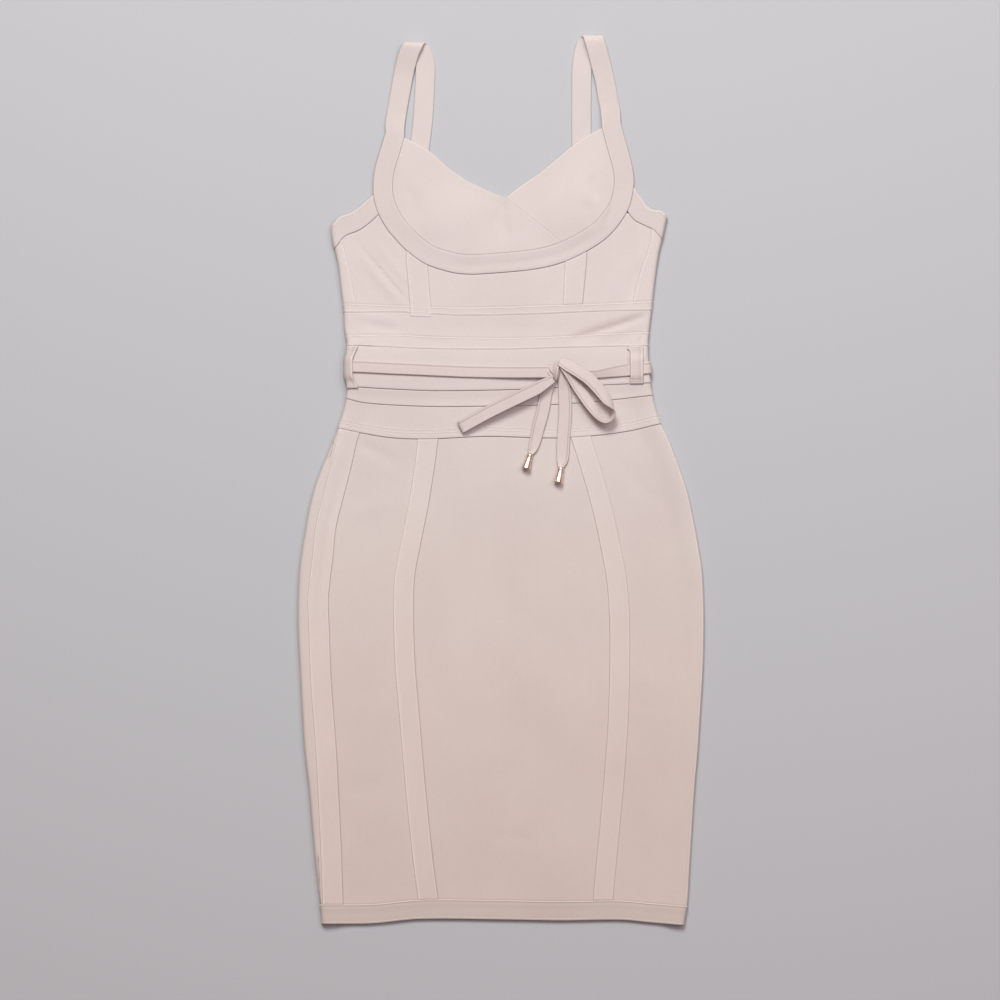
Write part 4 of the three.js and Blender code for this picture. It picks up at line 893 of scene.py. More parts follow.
def stitches(places, length, radius):
    """Stitches at places with a direction and a normal: each a short bead, thickest in its middle,
    whose ends dip into the cloth."""
    points, along, normal = (np.concatenate([p[k] for p in places]) for k in range(3))
    side = np.cross(normal, along)
    turn = np.linspace(0, 2 * math.pi, STITCH_SIDES, endpoint=False)
    thick = radius * np.sqrt(1 - STITCH_RINGS**2)[:, None]
    rise = radius * (0.9 - 1.1 * STITCH_RINGS**2)
    reach = along * length / 2
    centre = points[:, None] + reach[:, None] * STITCH_RINGS[:, None] + normal[:, None] * rise[:, None]
    body = (
        centre[:, :, None] + side[:, None, None] * (thick * np.cos(turn))[..., None]
        + normal[:, None, None] * (thick * np.sin(turn))[..., None])
    ends = np.stack([points - reach, points + reach], 1) - normal[:, None] * radius * 0.4
    block = np.concatenate([body.reshape(len(points), -1, 3), ends], 1)
    shift = (np.arange(len(points)) * block.shape[1])[:, None, None]
    faces = tube_faces(len(STITCH_RINGS), STITCH_SIDES)
    return block.reshape(-1, 3), [(part + shift).reshape(-1, part.shape[1]) for part in faces]


class Wire:
    """A node's socket, on which shader maths is written as Python expressions."""

    def __init__(self, finish, socket):
        self.finish, self.socket = finish, socket

    def maths(self, operation, *others):
        return self.finish.node("ShaderNodeMath", {"operation": operation}, dict(enumerate([self, *others])))

    def __add__(self, other):
        return self.maths("ADD", other)

    def __sub__(self, other):
        return self.maths("SUBTRACT", other)

    def __mul__(self, other):
        return self.maths("MULTIPLY", other)

    def __rsub__(self, other):
        return self * -1 + other


class Finish:
    """A material under construction: one method adds any node and joins its sockets."""

    def __init__(self, name):
        self.material = bpy.data.materials.new(name)
        self.material.use_nodes = True
        self.tree = self.material.node_tree
        self.tree.nodes.clear()

    def node(self, kind, settings=None, values=None, output=0):
        made = self.tree.nodes.new(kind)
        for key, value in (settings or {}).items():
            setattr(made, key, value)
        for key, value in (values or {}).items():
            if isinstance(value, Wire):
                self.tree.links.new(value.socket, made.inputs[key])
            else:
                made.inputs[key].default_value = value
        return Wire(self, made.outputs[output]) if len(made.outputs) else made

    def blend(self, factor, one, two):
        """A colour between two, by a factor."""
        return self.node("ShaderNodeMix", {"data_type": "RGBA"}, {0: factor, 6: one, 7: two}, 2)

    def noise(self, place, scale, detail=2.0):
        return self.node("ShaderNodeTexNoise", None, {"Vector": place, "Scale": scale, "Detail": detail})

    def place(self):
        """Object coordinates."""
        return self.node("ShaderNodeTexCoord", None, None, 3)

    def part(self, vector, axis):
        """One number of a vector."""
        return self.node("ShaderNodeSeparateXYZ", None, {"Vector": vector}, axis)

    def wave(self, direction, scale, distortion):
        """Soft parallel bands."""
        settings = {"wave_type": "BANDS", "bands_direction": direction}
        values = {"Vector": self.place(), "Scale": scale, "Distortion": distortion}
        return self.node("ShaderNodeTexWave", settings, values, 1)

    def close(self, values, height=None, strength=0.3, distance=0.0003):
        """The surface shader, with a bump of a height, and the material's output."""
        if height is not None:
            bump = {"Strength": strength, "Distance": distance, "Height": height}
            values = {**values, "Normal": self.node("ShaderNodeBump", None, bump)}
        surface = self.node("ShaderNodeBsdfPrincipled", None, values)
        self.node("ShaderNodeOutputMaterial", None, {"Surface": surface})
        return self.material


def linear(colour):
    """An sRGB colour of 0 to 255 as linear light."""
    c = np.array(colour, float) / 255
    return np.where(c <= 0.04045, c / 12.92, ((c + 0.055) / 1.055) ** 2.4).tolist()


def chosen(name, scale=1.0):
    """One of the dress's colours, lighter or darker."""
    return (*(min(c * scale, 1.0) for c in getattr(bpy.context.scene.dress_colours, name)), 1.0)


def knit(name, wale, course, rib, rib_depth, lighter=1.0, colour="knit", hem_shaded_colour="knit_low"):
    """Fine bandage knit: columns of stitches across the cloth map and rows up it, under a soft rib, with
    faint random dye. Painted shade darkens the seams, the sharp creases and the gaps between stitches and
    ribs, and makes it darker and warmer towards the hem; painted highlight lightens the ridges beside seams.
    Its sizes are in mm."""
    finish = Finish(name)
    cloth, place = finish.node("ShaderNodeUVMap", {"uv_map": "cloth"}), finish.place()
    u, v = finish.part(cloth, 0) * 100.0, finish.part(cloth, 1) * 100.0
    column = (u * (2 * math.pi / wale)).maths("COSINE") * 0.5 + 0.5
    lean = (u * (1 / wale)).maths("FRACT") - 0.5
    row = ((v * (1 / course) + lean.maths("ABSOLUTE")) * (2 * math.pi)).maths("COSINE") * 0.5 + 0.5
    stitch = column * (row * 0.5 + 0.5)
    ribs = (u * (2 * math.pi / rib)).maths("COSINE") * 0.5 + 0.5
    dye, slub, fuzz = finish.noise(place, 9.0, 3.0), finish.noise(place, 420.0), finish.noise(place, 2600.0)
    seam = finish.node("ShaderNodeAttribute", {"attribute_name": "seam_shade"}, None, 2)
    # Painted shade: darker and warmer from under the bust down to the hem, standing in for the light falling
    # off towards the hem.
    hem_shade_range = {0: finish.part(place, 1), 1: 0.18, 2: -0.42, 3: 0.0, 4: 1.0}
    down = finish.node("ShaderNodeMapRange", {"interpolation_type": "SMOOTHSTEP"}, hem_shade_range)
    base = finish.blend(down, chosen(colour, lighter), chosen(hem_shaded_colour, lighter))
    # Random dye and slub darken the knit towards half the seam colour, and painted shade does the same in the
    # gaps between stitches and in the rib troughs.
    shade = finish.blend(0.5, base, chosen("seam"))
    dye_and_gap_shade = dye * 0.4 + slub * 0.2 + (1 - stitch) * 0.16 + (1 - ribs) * rib_depth * 0.2 - 0.28
    dyed_and_gap_shaded = finish.blend(dye_and_gap_shade.maths("MAXIMUM", 0.0), base, shade)
    # Painted highlight on the ridges beside seams, tinted the thread's colour, where the seam value is below
    # 0.
    rim = finish.blend((seam * -0.6).maths("MAXIMUM", 0.0), dyed_and_gap_shaded, chosen("thread"))
    # Painted shade deep in seams, sharp creases and the knot's hollows, where the seam value is above 0.
    sunk = finish.blend(seam.maths("MAXIMUM", 0.0).maths("MINIMUM", 0.9), rim, chosen("seam"))
    return finish.close(
        {"Base Color": sunk, "Roughness": fuzz * 0.1 + 0.78, "Sheen Weight": 0.22, "Sheen Roughness": 0.45,
         "Sheen Tint": (1.0, 0.95, 0.93, 1.0), "Specular IOR Level": 0.25},
        stitch * 0.55 + ribs * rib_depth + fuzz * 0.35 + slub * 0.25, 0.35, 0.00025)


def thread(name):
    """Sewing thread, a little lighter than the knit, twisted."""
    finish = Finish(name)
    twist, tone = finish.wave("DIAGONAL", 900.0, 1.0), finish.noise(finish.place(), 60.0)
    colour = finish.blend(tone * 0.2 + twist * 0.15, chosen("thread"), chosen("thread", 0.8))
    return finish.close({"Base Color": colour, "Roughness": tone * 0.1 + 0.6}, twist, 0.3, 0.0001)


def rose_gold(name):
    """Polished rose gold: faint turned lines round the bell, small scuffs in its roughness."""
    finish = Finish(name)
    place, turned = finish.place(), finish.wave("Y", 1500.0, 0.6)
    scuff, tarnish = finish.noise(place, 900.0, 4.0), finish.noise(place, 160.0)
    colour = finish.blend(tarnish * 0.5, chosen("metal"), chosen("metal", 0.72))
    return finish.close(
        {"Base Color": colour, "Metallic": 1.0, "Roughness": scuff * 0.12 + 0.24},
        turned * 0.4 + scuff * 0.6, 0.06, 0.0001)


def pale_floor(name):
    """A plain pale matt surface with the faintest unevenness."""
    finish = Finish(name)
    grain = finish.noise(finish.place(), 350.0, 3.0)
    colour = finish.blend(grain, chosen("floor"), chosen("floor", 0.96))
    return finish.close({"Base Color": colour, "Roughness": grain * 0.1 + 0.85}, grain, 0.1)


# Each finish: its builder, its material's name and, for a knit, its sizes, how light it is, its colours
FINISHES = {
    "panel": (knit, "dress_knit_panel", 0.9, 0.7, 3.1, 0.08),
    "band": (knit, "dress_knit_band", 0.8, 0.9, 1.6, 0.3, 1.05),
    "tape": (knit, "dress_knit_tape", 0.8, 0.9, 1.6, 0.3, 1.012),
    "strip": (knit, "dress_knit_strip", 0.8, 0.9, 1.6, 0.3, 0.97),
    # The hem's copy is darker: more painted shade at the bottom of the dress.
    "hem": (knit, "dress_knit_hem", 0.8, 0.9, 1.6, 0.3, 0.93),
    "belt": (knit, "belt_knit_strip", 0.8, 0.9, 1.4, 0.3, 1.0, "belt", "belt"),
    "thread": (thread, "sewing_thread"),
    "metal": (rose_gold, "rose_gold"),
    "floor": (pale_floor, "pale_floor"),
}


def finish_of(kind):
    """The material of a finish, built the first time that it is asked for."""
    build, name, *values = FINISHES[kind]
    return bpy.data.materials.get(name) or build(name, *values)


def size(name, default, text):
    """A length in metres as a property."""
    return bpy.props.FloatProperty(
        name=name, description=text, default=default, min=0.0, unit="LENGTH", subtype="DISTANCE", precision=5)


def colour(name, value, text):
    """An sRGB colour of 0 to 255 as a property."""
    return bpy.props.FloatVectorProperty(
        name=name, description=text, default=linear(value), min=0.0, max=1.0, size=3, subtype="COLOR")


class DressSizes(bpy.types.PropertyGroup):
    stitch_pitch: size("Stitch pitch", 0.0026, "Distance from one stitch to the next")
    stitch_length: size("Stitch length", 0.0021, "Length of thread that shows in each stitch")
    thread_radius: size("Thread radius", 0.0003, "Radius of the sewing thread")
    camera_height: size("Camera height", 4.0, "Height of the camera over the dress")
    view_width: size("View width", 1.0, "Width of the surface that the camera sees")


class DressColours(bpy.types.PropertyGroup):
    knit: colour("Knit", (216, 206, 202), "Dusty pink of the bodice and waist")
    # The colour at the hem end of the knit's blend: painted shade for the light falling off towards the hem,
    # and a little warmer.
    knit_low: colour("Knit at the hem", (214, 199, 190), "Warmer tone of the skirt towards the hem")
    # Painted shade colour: deep in seams and sharp creases, and at half strength in the gaps between
    # stitches; half of it also gives the random dye its darker tone.
    seam: colour("Seam shade", (140, 104, 102), "Tone deep in the seams")
    belt: colour("Belt", (216, 204, 199), "Knit of the belt and bow")
    # Also the tint of the painted highlight on the ridges beside seams.
    thread: colour("Thread", (246, 238, 231), "Sewing thread")
    metal: colour("Metal", (250, 226, 210), "Rose gold of the cord ends")
    floor: colour("Floor", (190, 191, 194), "Pale surface under the dress")


class DRESS_OT_stage(bpy.types.Operator):
    """Camera straight above, pale floor, soft light from the upper left"""

    bl_idname = "dress.stage"
    bl_label = "Stage"

    def execute(self, context):
        scene, sizes = context.scene, context.scene.dress_sizes
        lens = bpy.data.cameras.new("camera_above")
        camera = bpy.data.objects.new("camera_above", lens)
        scene.collection.objects.link(camera)
        camera.location = (*CAMERA_AT, sizes.camera_height)
        lens.sensor_width = SENSOR
        lens.lens = SENSOR * (sizes.camera_height - FRONT_HEIGHT) / sizes.view_width
        lens.clip_end = 100.0
        scene.camera = camera
        scene.view_settings.view_transform = "Standard"
        for name, place, wide, power, tint in LIGHTS:
            data = bpy.data.lights.new(name, "AREA")
            data.shape, data.size, data.energy, data.color = "SQUARE", wide, power, tint
            light = bpy.data.objects.new(name, data)
            scene.collection.objects.link(light)
            light.location = place
            light.rotation_euler = (Vector(LIGHTS_AIM) - Vector(place)).to_track_quat("-Z", "Y").to_euler()
        world = scene.world or bpy.data.worlds.new("soft_room")
        scene.world = world
        world.use_nodes = True
        sky = world.node_tree.nodes.get("Background") or world.node_tree.nodes.new("ShaderNodeBackground")
        sky.inputs["Color"].default_value = ROOM_TINT
        sky.inputs["Strength"].default_value = ROOM_STRENGTH
        x, y = np.meshgrid(*[np.linspace(-FLOOR_HALF, FLOOR_HALF, 9)] * 2)
        points = np.stack([x, y, 0 * x - FLOOR_DROP], -1).reshape(-1, 3)
        make_piece("floor", points, [grid_quads(np.arange(81).reshape(9, 9))], finish_of("floor"))
        return {"FINISHED"}


class DRESS_OT_bust(bpy.types.Operator):
    """The strip that makes both straps and runs round the cups, and the two cups"""

    bl_idname = "dress.bust"
    bl_label = "Straps and cups"

    def execute(self, context):
        straps = ("strap_left", "strap_right")
        sew("bust_band", strip_faces(), "strip", also=straps)
        d = np.linspace(0, BUST_LENGTH, 601)
        foot_at = d[np.hypot(*(bust_inner(d) - CUP_LAP_END).T).argmin()]
        foot, valley = bust_inner(foot_at), np.array(NECK_RIGHT[0])
        turn_left, turn_right = (BUST_LENGTH * share for share in CUP_CORNER)

        def seam(start, end):
            return lambda t: bust_inner(mix(start, end, np.asarray(t)))

        def lap(t):
            return mix(foot, valley, np.asarray(t)[..., None])

        left = cup_faces(
            seam(turn_left, foot_at), polyline([bust_inner(0.0), *NECK_LEFT]), seam(turn_left, 0), lap,
            lambda s: THIN_RISE + (LAP_RISE - THIN_RISE) * s * s, "under fine under open")
        right = cup_faces(
            seam(foot_at, turn_right), polyline([*NECK_RIGHT, bust_inner(BUST_LENGTH)]), lap,
            seam(turn_right, BUST_LENGTH), lambda s: 0 * s, "under under under open")
        sew("cup_left", left, "panel")
        sew("cup_right", right, "panel")
        return {"FINISHED"}


class DRESS_OT_bodice(bpy.types.Operator):
    """Centre, bands, side fronts and side panels of the bodice, and the armhole bands"""

    bl_idname = "dress.bodice"
    bl_label = "Bodice"

    def execute(self, context):
        middle = {side: curve_of(BODICE_BANDS, side, "y") for side in ("left", "right")}
        width = {side: curve_of(BODICE_BANDS, side + "_width", "y") for side in ("left", "right")}
        side_left, side_right = (curve_of(BODICE_SIDES, side, "y") for side in ("left", "right"))
        seam_left = curve_of(ARMHOLE_SEAM_LEFT, over="across")
        seam_right = curve_of(ARMHOLE_SEAM_RIGHT, over="across")
        kink_left, kink_right = level(ARMHOLE_SEAM_LEFT["across"][-1]), level(ARMHOLE_SEAM_RIGHT["across"][0])
        under_cups, bottom = bust_edge_y(), all_round(underbust_top)

        def edge(side, to):
            return lambda y: middle[side](y) + to * width[side](y) / 2

        def top(across, y):
            armhole = np.where(np.asarray(across) < 0, seam_left(across), seam_right(across))
            return np.minimum(armhole, under_cups(across))

        def lapped(across, y):
            return bottom(across, y) - BAND_LAP

        fronts = {
            "bodice_centre": ([(edge("left", 1), edge("right", -1), 132)], 0.0, "under under under tuck"),
            "bodice_band_left": (
                [(edge("left", -1), edge("left", 1), 21)], PANEL_BAND_RISE, "fine fine faint tuck"),
            "bodice_band_right": (
                [(edge("right", -1), edge("right", 1), 20)], PANEL_BAND_RISE, "sewn fold under tuck"),
            "bodice_front_left": (
                [(side_left, kink_left, 26), (kink_left, edge("left", -1), 29)], 0.0,
                "under under under tuck"),
            "bodice_front_right": (
                [(edge("right", 1), kink_right, 43), (kink_right, side_right, 16)], 0.0,
                "tuck under under tuck"),
            "bodice_side_left": (
                [*left_wrap(), (left_at(0), side_left, 10)], SIDE_PANEL_RISE, "butt sewn under tuck"),
            "bodice_side_right": (
                [(side_right, right_at(0), 12), *right_wrap()], SIDE_PANEL_RISE, "sewn butt under tuck"),
        }
        for name, (stretches, rise, edges) in fronts.items():
            stretches = [(*stretch[:3], min(BODICE_STEP, *stretch[3:], STEP)) for stretch in stretches]
            foot = lapped if name == "bodice_band_left" else bottom
            panel = Panel(stretches, foot, top, 60, edges, rise, BODICE_STEP)
            upright = "band" in name
            sew_panel(name, "tape" if upright else "panel", panel, upright)
        end = FOLD_LENGTH + 4
        sew_panel("armhole_band_left", "strip", Panel(
            [*left_wrap(end), (left_at(0), bust_edge_x(-1), 40, STEP)], cross(seam_left),
            cross(curve_of(ARMHOLE_EDGE_LEFT, over="across")), 22, "open tuck fold open", BAND_RISE))
        sew_panel("armhole_band_right", "strip", Panel(
            [(bust_edge_x(1), right_at(0), 28, STEP), *right_wrap(end)], cross(seam_right),
            cross(curve_of(ARMHOLE_EDGE_RIGHT, over="across")), 22, "tuck open fold open", BAND_RISE))
        return {"FINISHED"}


class DRESS_OT_waist(bpy.types.Operator):
    """Under-bust band, midriff, waist tape, belt panel, tuck strip and waist band"""

    bl_idname = "dress.waist"
    bl_label = "Waist"

    def execute(self, context):
        def tucked(share):
            return THIN_RISE + TUCK_RISE * (1 - share) ** 4

        whole = [*left_wrap(), (left_at(0), right_at(0), 310, STEP), *right_wrap()]
        for name, finish, bottom, top, depth, rise, edges in (
            ("underbust_band", "tape", underbust_bottom, underbust_top, 8, TAPE_RISE, "faint faint"),
            ("midriff", "panel", midriff_bottom, underbust_bottom, 22, THIN_RISE, "under under"),
            ("waist_tape", "tape", tape_bottom, midriff_bottom, 12, TAPE_RISE, "faint faint"),
            ("belt_panel", "panel", tuck_one, tape_bottom, 41, tucked, "fold under"),
            ("tuck_strip", "panel", tuck_two, tuck_one, 16, tucked, "fold tuck"),
            ("waist_band", "tape", waist_seam, tuck_two, 32, tucked, "fold tuck"),
        ):
            panel = Panel(whole, cross(bottom), cross(top), depth, "butt butt " + edges, rise)
            sew_panel(name, finish, panel)
        return {"FINISHED"}


class DRESS_OT_skirt(bpy.types.Operator):
    """Centre, curved bands, side fronts and side bands of the skirt, its back, and the hem"""

    bl_idname = "dress.skirt"
    bl_label = "Skirt"

    def execute(self, context):
        middle = {side: curve_of(SKIRT_BANDS, side, "y") for side in ("left", "right")}
        inner = curve_of(SIDE_BAND_INNER, "x", "y")

        def edge(side, to):
            return lambda y: middle[side](y) + to * BAND_WIDTH / 2

        def band_side(y):
            return inner(y) - SIDE_BAND_WIDTH

        def side_channel(across, y, away):
            return -0.8 * bell(away["left"], 12.5, 2.8) * smooth(y, -200, -120) * (1 - smooth(y, -50, 10))

        def hem_channel(across, y, away):
            return -0.25 * bell(away["top"], 8.5, 2.2)

        def hem_edge(across, y):
            return hidden_hem(across, y) - HEM_DEPTH

        band_end, round_left = SIDE_SEAM_RUN + SIDE_BAND_WIDTH, left_wrap()[1]
        pieces = {
            "skirt_centre": ([(edge("left", 1), edge("right", -1), 190, STEP)], 0.0, "tuck under"),
            "skirt_band_left": (
                [(edge("left", -1), edge("left", 1), 20, STEP)], SKIRT_BAND_RISE, "sewn lap"),
            "skirt_band_right": (
                [(edge("right", -1), edge("right", 1), 20, STEP)], SKIRT_BAND_RISE, "fine fine"),
            "skirt_front_left": ([(inner, edge("left", -1), 66, STEP)], 0.0, "tuck under"),
            "skirt_side_band_left": ([(band_side, inner, 20.3, STEP)], SKIRT_BAND_RISE, "sewn lap"),
            "skirt_front_right": (
                [(edge("right", 1), right_at(0), 72, STEP), (right_at(0), right_at(SIDE_SEAM_RUN), 3.2, 1.1)],
                0.0, "under sewn"),
            "skirt_side_band_right": (
                [(right_at(SIDE_SEAM_RUN), right_at(FOLD_LENGTH), 8.1, FOLD_STEP),
                 (right_at(FOLD_LENGTH), right_at(band_end), 12, STEP)], THIN_RISE, "under butt"),
            "back_skirt": (
                [(back_end(band_end - FOLD_LENGTH), left_at(FOLD_LENGTH), 380, BACK_STEP), round_left,
                 (left_at(0), band_side, 8, 2.0)], 0.0, "butt under"),
        }
        for name, (stretches, rise, edges) in pieces.items():
            shape = side_channel if name == "skirt_side_band_left" else None
            panel = Panel(
                stretches, hidden_hem, all_round(waist_seam), 465, edges + " under tuck", rise, shape=shape)
            upright, on = "band" in name, "floor" if name == "back_skirt" else "back_skirt"
            sew_panel(name, "band" if upright else "panel", panel, upright)
        ring = [
            (back_end(BACK_LAP), left_at(FOLD_LENGTH), 340, BACK_STEP), round_left,
            (left_at(0), right_at(0), 355, STEP), *right_wrap()]
        sew_panel("hem_band", "hem", Panel(
            ring, hem_edge, hidden_hem, HEM_DEPTH, "plain plain open sewn", HEM_RISE, ring=True,
            shape=hem_channel))
        return {"FINISHED"}


class DRESS_OT_back(bpy.types.Operator):
    """Back of the waist and the bodice, between the laps of the front pieces"""

    bl_idname = "dress.back"
    bl_label = "Back"

    def execute(self, context):
        stretch = [(back_end(BACK_LAP), left_at(LAP_RUN), 270, BACK_STEP)]
        top_edge, waist_top = curve_of(BACK_TOP), all_round(underbust_top)

        def back_top(across, y):
            return top_edge(left_run(y, 0) + left_run(y, FOLD_LENGTH) - across)

        sew_panel("back_waist", "panel", Panel(
            stretch, all_round(waist_seam), waist_top, 130, "butt butt butt butt", step=BACK_STEP))
        sew_panel("back_bodice", "panel", Panel(
            stretch, waist_top, back_top, 70, "butt butt butt open", step=BACK_STEP))
        return {"FINISHED"}


class DRESS_OT_belt(bpy.types.Operator):
    """The belt under the back, round both sides and across the front, and its two carriers"""

    bl_idname = "dress.belt"
    bl_label = "Belt"

    def execute(self, context):
        def strip(node, stretches, line, edges):
            panel = Panel(
                stretches, lambda a, y: line(a) - BELT_HALF, lambda a, y: line(a) + BELT_HALF, 2 * BELT_HALF,
                edges, 0.0, 2.0)
            across, y, away = panel.across, panel.y, panel.distances(panel.across, panel.y)
            form = sum(rolled(away[s], 0.95) for s, kind in panel.edges.items() if kind == "open")
            low = BELT_KNOT_LIFT * smooth(across, -30, 52) * (across < 60) + mix(
                BELT_CLEAR_FRONT, BELT_CLEAR, smooth(fold_turn(y, across), 0, math.pi / 2))
            groove = bell(away["top"], 2.0, 0.5)
            # Painted shade in the seam groove and a painted shadow along the belt's lower edge.
            shade = 0.4 * groove + 0.4 * bell(away["bottom"], 0, 0.4)
            faces = (
                skin(y, across, low + BELT_THICK + form - 0.22 * groove), skin(y, across, low - form),
                np.stack([across, y], -1), shade)
            sew(node, faces, "belt")

        strip("belt_left", [*left_wrap(), (left_at(0), level(BELT_END), 204, STEP)],
              curve_of(BELT_LINE, over="across"), "butt open open open")
        strip("belt_right", [(level(BELT_TURNED["x"][0]), right_at(0), 10, 2.0), *right_wrap()],
              curve_of(BELT_LINE_RIGHT, over="across"), "butt butt open open")
        strip("belt_back", [(back_end(BACK_LAP), left_at(LAP_RUN), 260, BACK_STEP)], level(BELT_Y),
              "butt butt open open")
        turned = {**BELT_TURNED, "z": front_top(BELT_TURNED["x"], BELT_TURNED["y"]) + BELT_TURNED["z"]}
        sew("belt_front_right", ribbon_faces(turned, 1.0), "belt")

        def carrier(node, left, right, bottom, top):
            def stood(across, y, away):
                return mix(*CARRIER_STANDS, smooth(np.abs(y - BELT_Y + 1), BELT_HALF * 1.3, BELT_HALF * 2.5))

            SEWN_PANELS[node] = panel = Panel(
                [(left, right, 11, 2.0)], cross(level(bottom)), cross(level(top)), top - bottom,
                "open open open open", 0.0, 2.0, shape=stood)
            across, y, away = panel.across, panel.y, panel.distances(panel.across, panel.y)
            low = stood(across, y, away) - CARRIER_THICK - sum(rolled(away[s], 0.55) for s in away)
            # Painted shade in a seam line by the right edge and along both long edges, with a painted
            # highlight just inside them.
            shade = 0.35 * bell(away["right"], 2.6, 0.5) + sum(
                0.5 * bell(away[s], 0, 0.5) - 0.4 * bell(away[s], 1.1, 0.5) for s in ("left", "right"))
            outer = skin(y, across, panel.out(across, y))
            faces = (outer, skin(y, across, low), np.stack([y, across], -1), shade)
            sew(node, faces, "belt")

        carrier("belt_carrier_left", lambda y: -156.4 + 3.2 * smooth(np.abs(y - BELT_Y), 9, 21),
                lambda y: -148.0 + 5.4 * smooth(np.abs(y - BELT_Y), 7, 22), 91.5, 134)
        carrier("belt_carrier_right", lambda y: 129 - 3.2 * bell(y, 131.5, 2.0), level(142.0), 96, 134)
        return {"FINISHED"}


class DRESS_OT_bow(bpy.types.Operator):
    """The knot, a loop to each side and two tails"""

    bl_idname = "dress.bow"
    bl_label = "Bow"

    def execute(self, context):
        for node, table, on, seam_side in (
            ("bow_loop_left", LOOP_LEFT, "waist_band", 1),
            ("bow_loop_right", LOOP_RIGHT, "waist_band", 1),
            ("belt_tail_left", TAIL_LEFT, "skirt_centre", -1),
            ("belt_tail_right", TAIL_RIGHT, "skirt_centre", 1),
        ):
            sew(node, ribbon_faces(table, seam_side=seam_side), "belt")
        turn = np.linspace(0, 2 * math.pi, 40, endpoint=False)
        rise = np.linspace(-math.pi / 2, math.pi / 2, 22)[1:-1, None]
        ball = np.stack(
            [np.cos(rise) * np.cos(turn), np.sin(rise) + 0 * turn, np.cos(rise) * np.sin(turn)], -1)
        folds = 1 - 0.07 * bell(np.sin(turn * 2 + rise * 1.4), 0, 0.25)
        core = np.concatenate([(ball * folds[..., None]).reshape(-1, 3), [[0, -1, 0], [0, 1, 0]]])
        core = core * KNOT_HALF + KNOT_CENTRE
        # The core is painted a little towards the seam shade colour: painted shade in the knot's hollows.
        parts, faces, maps, shades = [core], tube_faces(20, 40), [core[:, :2]], [0.2 + 0 * core[:, 0]]
        for table in (KNOT_STRAND, KNOT_ROLL, KNOT_ROLL_INNER):
            outer, inner, uv, shade = ribbon_faces(table, pinch=0.5)
            points, walls = shell(outer, inner)
            faces += [wall + sum(len(part) for part in parts) for wall in walls]
            parts.append(points)
            maps.append(np.tile(uv.reshape(-1, 2), (2, 1)))
            shades.append(np.tile(shade.ravel(), 2))
        knot = make_piece(
            "bow_knot_cloth", np.concatenate(parts), faces, finish_of("belt"), np.concatenate(maps),
            {"seam_shade": np.concatenate(shades)})
        stand_in(knot, "belt_knit", "bow_knot")
        return {"FINISHED"}


class DRESS_OT_cord_ends(bpy.types.Operator):
    """Two rose gold bells, one on each tail"""

    bl_idname = "dress.cord_ends"
    bl_label = "Metal ends"

    def execute(self, context):
        for side, (throat, lip) in CORD_ENDS.items():
            points, faces = lathe(CORD_END_PROFILE, throat, lip)
            made = make_piece(f"cord_end_{side}_metal", points, faces, finish_of("metal"))
            stand_in(made, "cord_metal", "cord_end_" + side)
        return {"FINISHED"}


# Rows of stitches: the panel, its edge, and how far in each row lies
STITCH_LINES = {
    "bodice": (
        ("bodice_band_left", "left", (0.9, 2.6)), ("bodice_band_right", "left", (0.9, 2.6)),
        ("bodice_band_left", "right", (1.6,)), ("bodice_band_right", "right", (1.6,)),
        ("bodice_side_left", "right", (0.9, 2.8)), ("bodice_side_right", "left", (0.9, 2.8)),
        ("armhole_band_left", "top", (2.2,)), ("armhole_band_right", "top", (2.2,)),
    ),
    "waist": (
        ("underbust_band", "top", (1.3,)), ("underbust_band", "bottom", (1.3,)),
        ("waist_tape", "top", (1.2,)), ("waist_tape", "bottom", (1.2,)), ("waist_band", "bottom", (6.0, 9.0)),
    ),
    "skirt": (
        ("skirt_band_left", "left", (0.9, 2.8)), ("skirt_band_right", "left", (1.2,)),
        ("skirt_side_band_left", "left", (1.2,)), ("skirt_front_right", "right", (0.8,)),
        ("hem_band", "top", (1.0,)), ("hem_band", "bottom", (1.6,)),
    ),
    "carriers": (
        ("belt_carrier_left", "bottom", (1.4, 3.0)), ("belt_carrier_left", "top", (1.4, 3.0)),
        ("belt_carrier_right", "bottom", (1.4, 3.0)), ("belt_carrier_right", "top", (1.4, 3.0)),
    ),
}


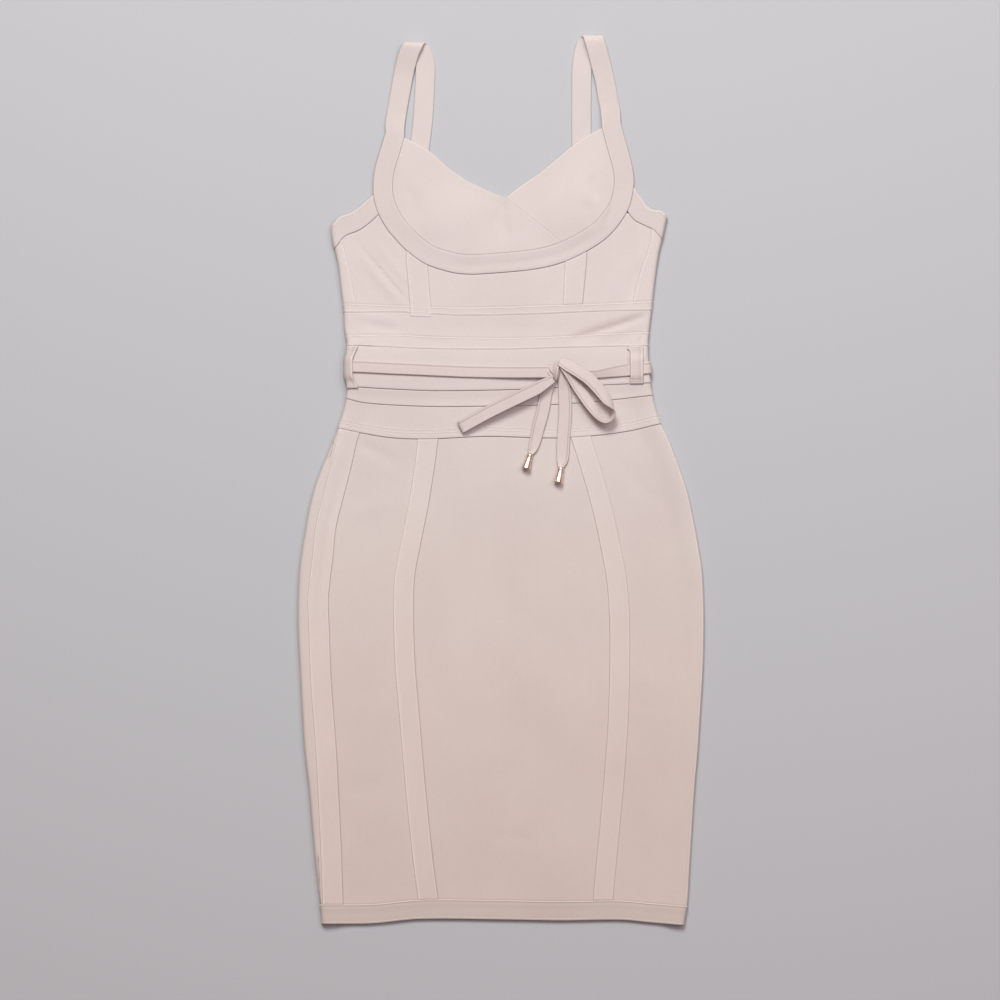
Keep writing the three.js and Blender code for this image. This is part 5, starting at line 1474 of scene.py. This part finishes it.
class DRESS_OT_stitching(bpy.types.Operator):
    """Rows of stitches along the sewn edges"""

    bl_idname = "dress.stitching"
    bl_label = "Stitching"

    def execute(self, context):
        sizes = context.scene.dress_sizes
        for group, seams in STITCH_LINES.items():
            places = [
                SEWN_PANELS[name].along(side, inset, sizes.stitch_pitch / MM)
                for name, side, insets in seams for inset in insets]
            points, faces = stitches(places, sizes.stitch_length / MM, sizes.thread_radius / MM)
            stand_in(make_piece(f"topstitching_{group}", points, faces, finish_of("thread")), "dress_knit")
        return {"FINISHED"}


class DRESS_PT_panel(bpy.types.Panel):
    """The dress's pieces, sizes and colours"""

    bl_idname = "DRESS_PT_panel"
    bl_label = "Dress"
    bl_space_type = "VIEW_3D"
    bl_region_type = "UI"
    bl_category = "Dress"

    def draw(self, context):
        for operator in OPERATORS:
            self.layout.operator(operator.bl_idname)
        for group in (context.scene.dress_sizes, context.scene.dress_colours):
            for name in group.__annotations__:
                self.layout.prop(group, name)


OPERATORS = (
    DRESS_OT_stage, DRESS_OT_bust, DRESS_OT_bodice, DRESS_OT_waist, DRESS_OT_skirt, DRESS_OT_back,
    DRESS_OT_belt, DRESS_OT_bow, DRESS_OT_cord_ends, DRESS_OT_stitching)
CLASSES = (DressSizes, DressColours, *OPERATORS, DRESS_PT_panel)


def register():
    for each in CLASSES:
        bpy.utils.register_class(each)
    bpy.types.Scene.dress_sizes = bpy.props.PointerProperty(type=DressSizes)
    bpy.types.Scene.dress_colours = bpy.props.PointerProperty(type=DressColours)


def unregister():
    del bpy.types.Scene.dress_sizes, bpy.types.Scene.dress_colours
    for each in reversed(CLASSES):
        bpy.utils.unregister_class(each)


def main():
    register()
    bpy.ops.dress.stage()
    bpy.ops.dress.bust()
    bpy.ops.dress.bodice()
    bpy.ops.dress.waist()
    bpy.ops.dress.skirt()
    bpy.ops.dress.back()
    bpy.ops.dress.belt()
    bpy.ops.dress.bow()
    bpy.ops.dress.cord_ends()
    bpy.ops.dress.stitching()


if __name__ == "__main__":
    main()
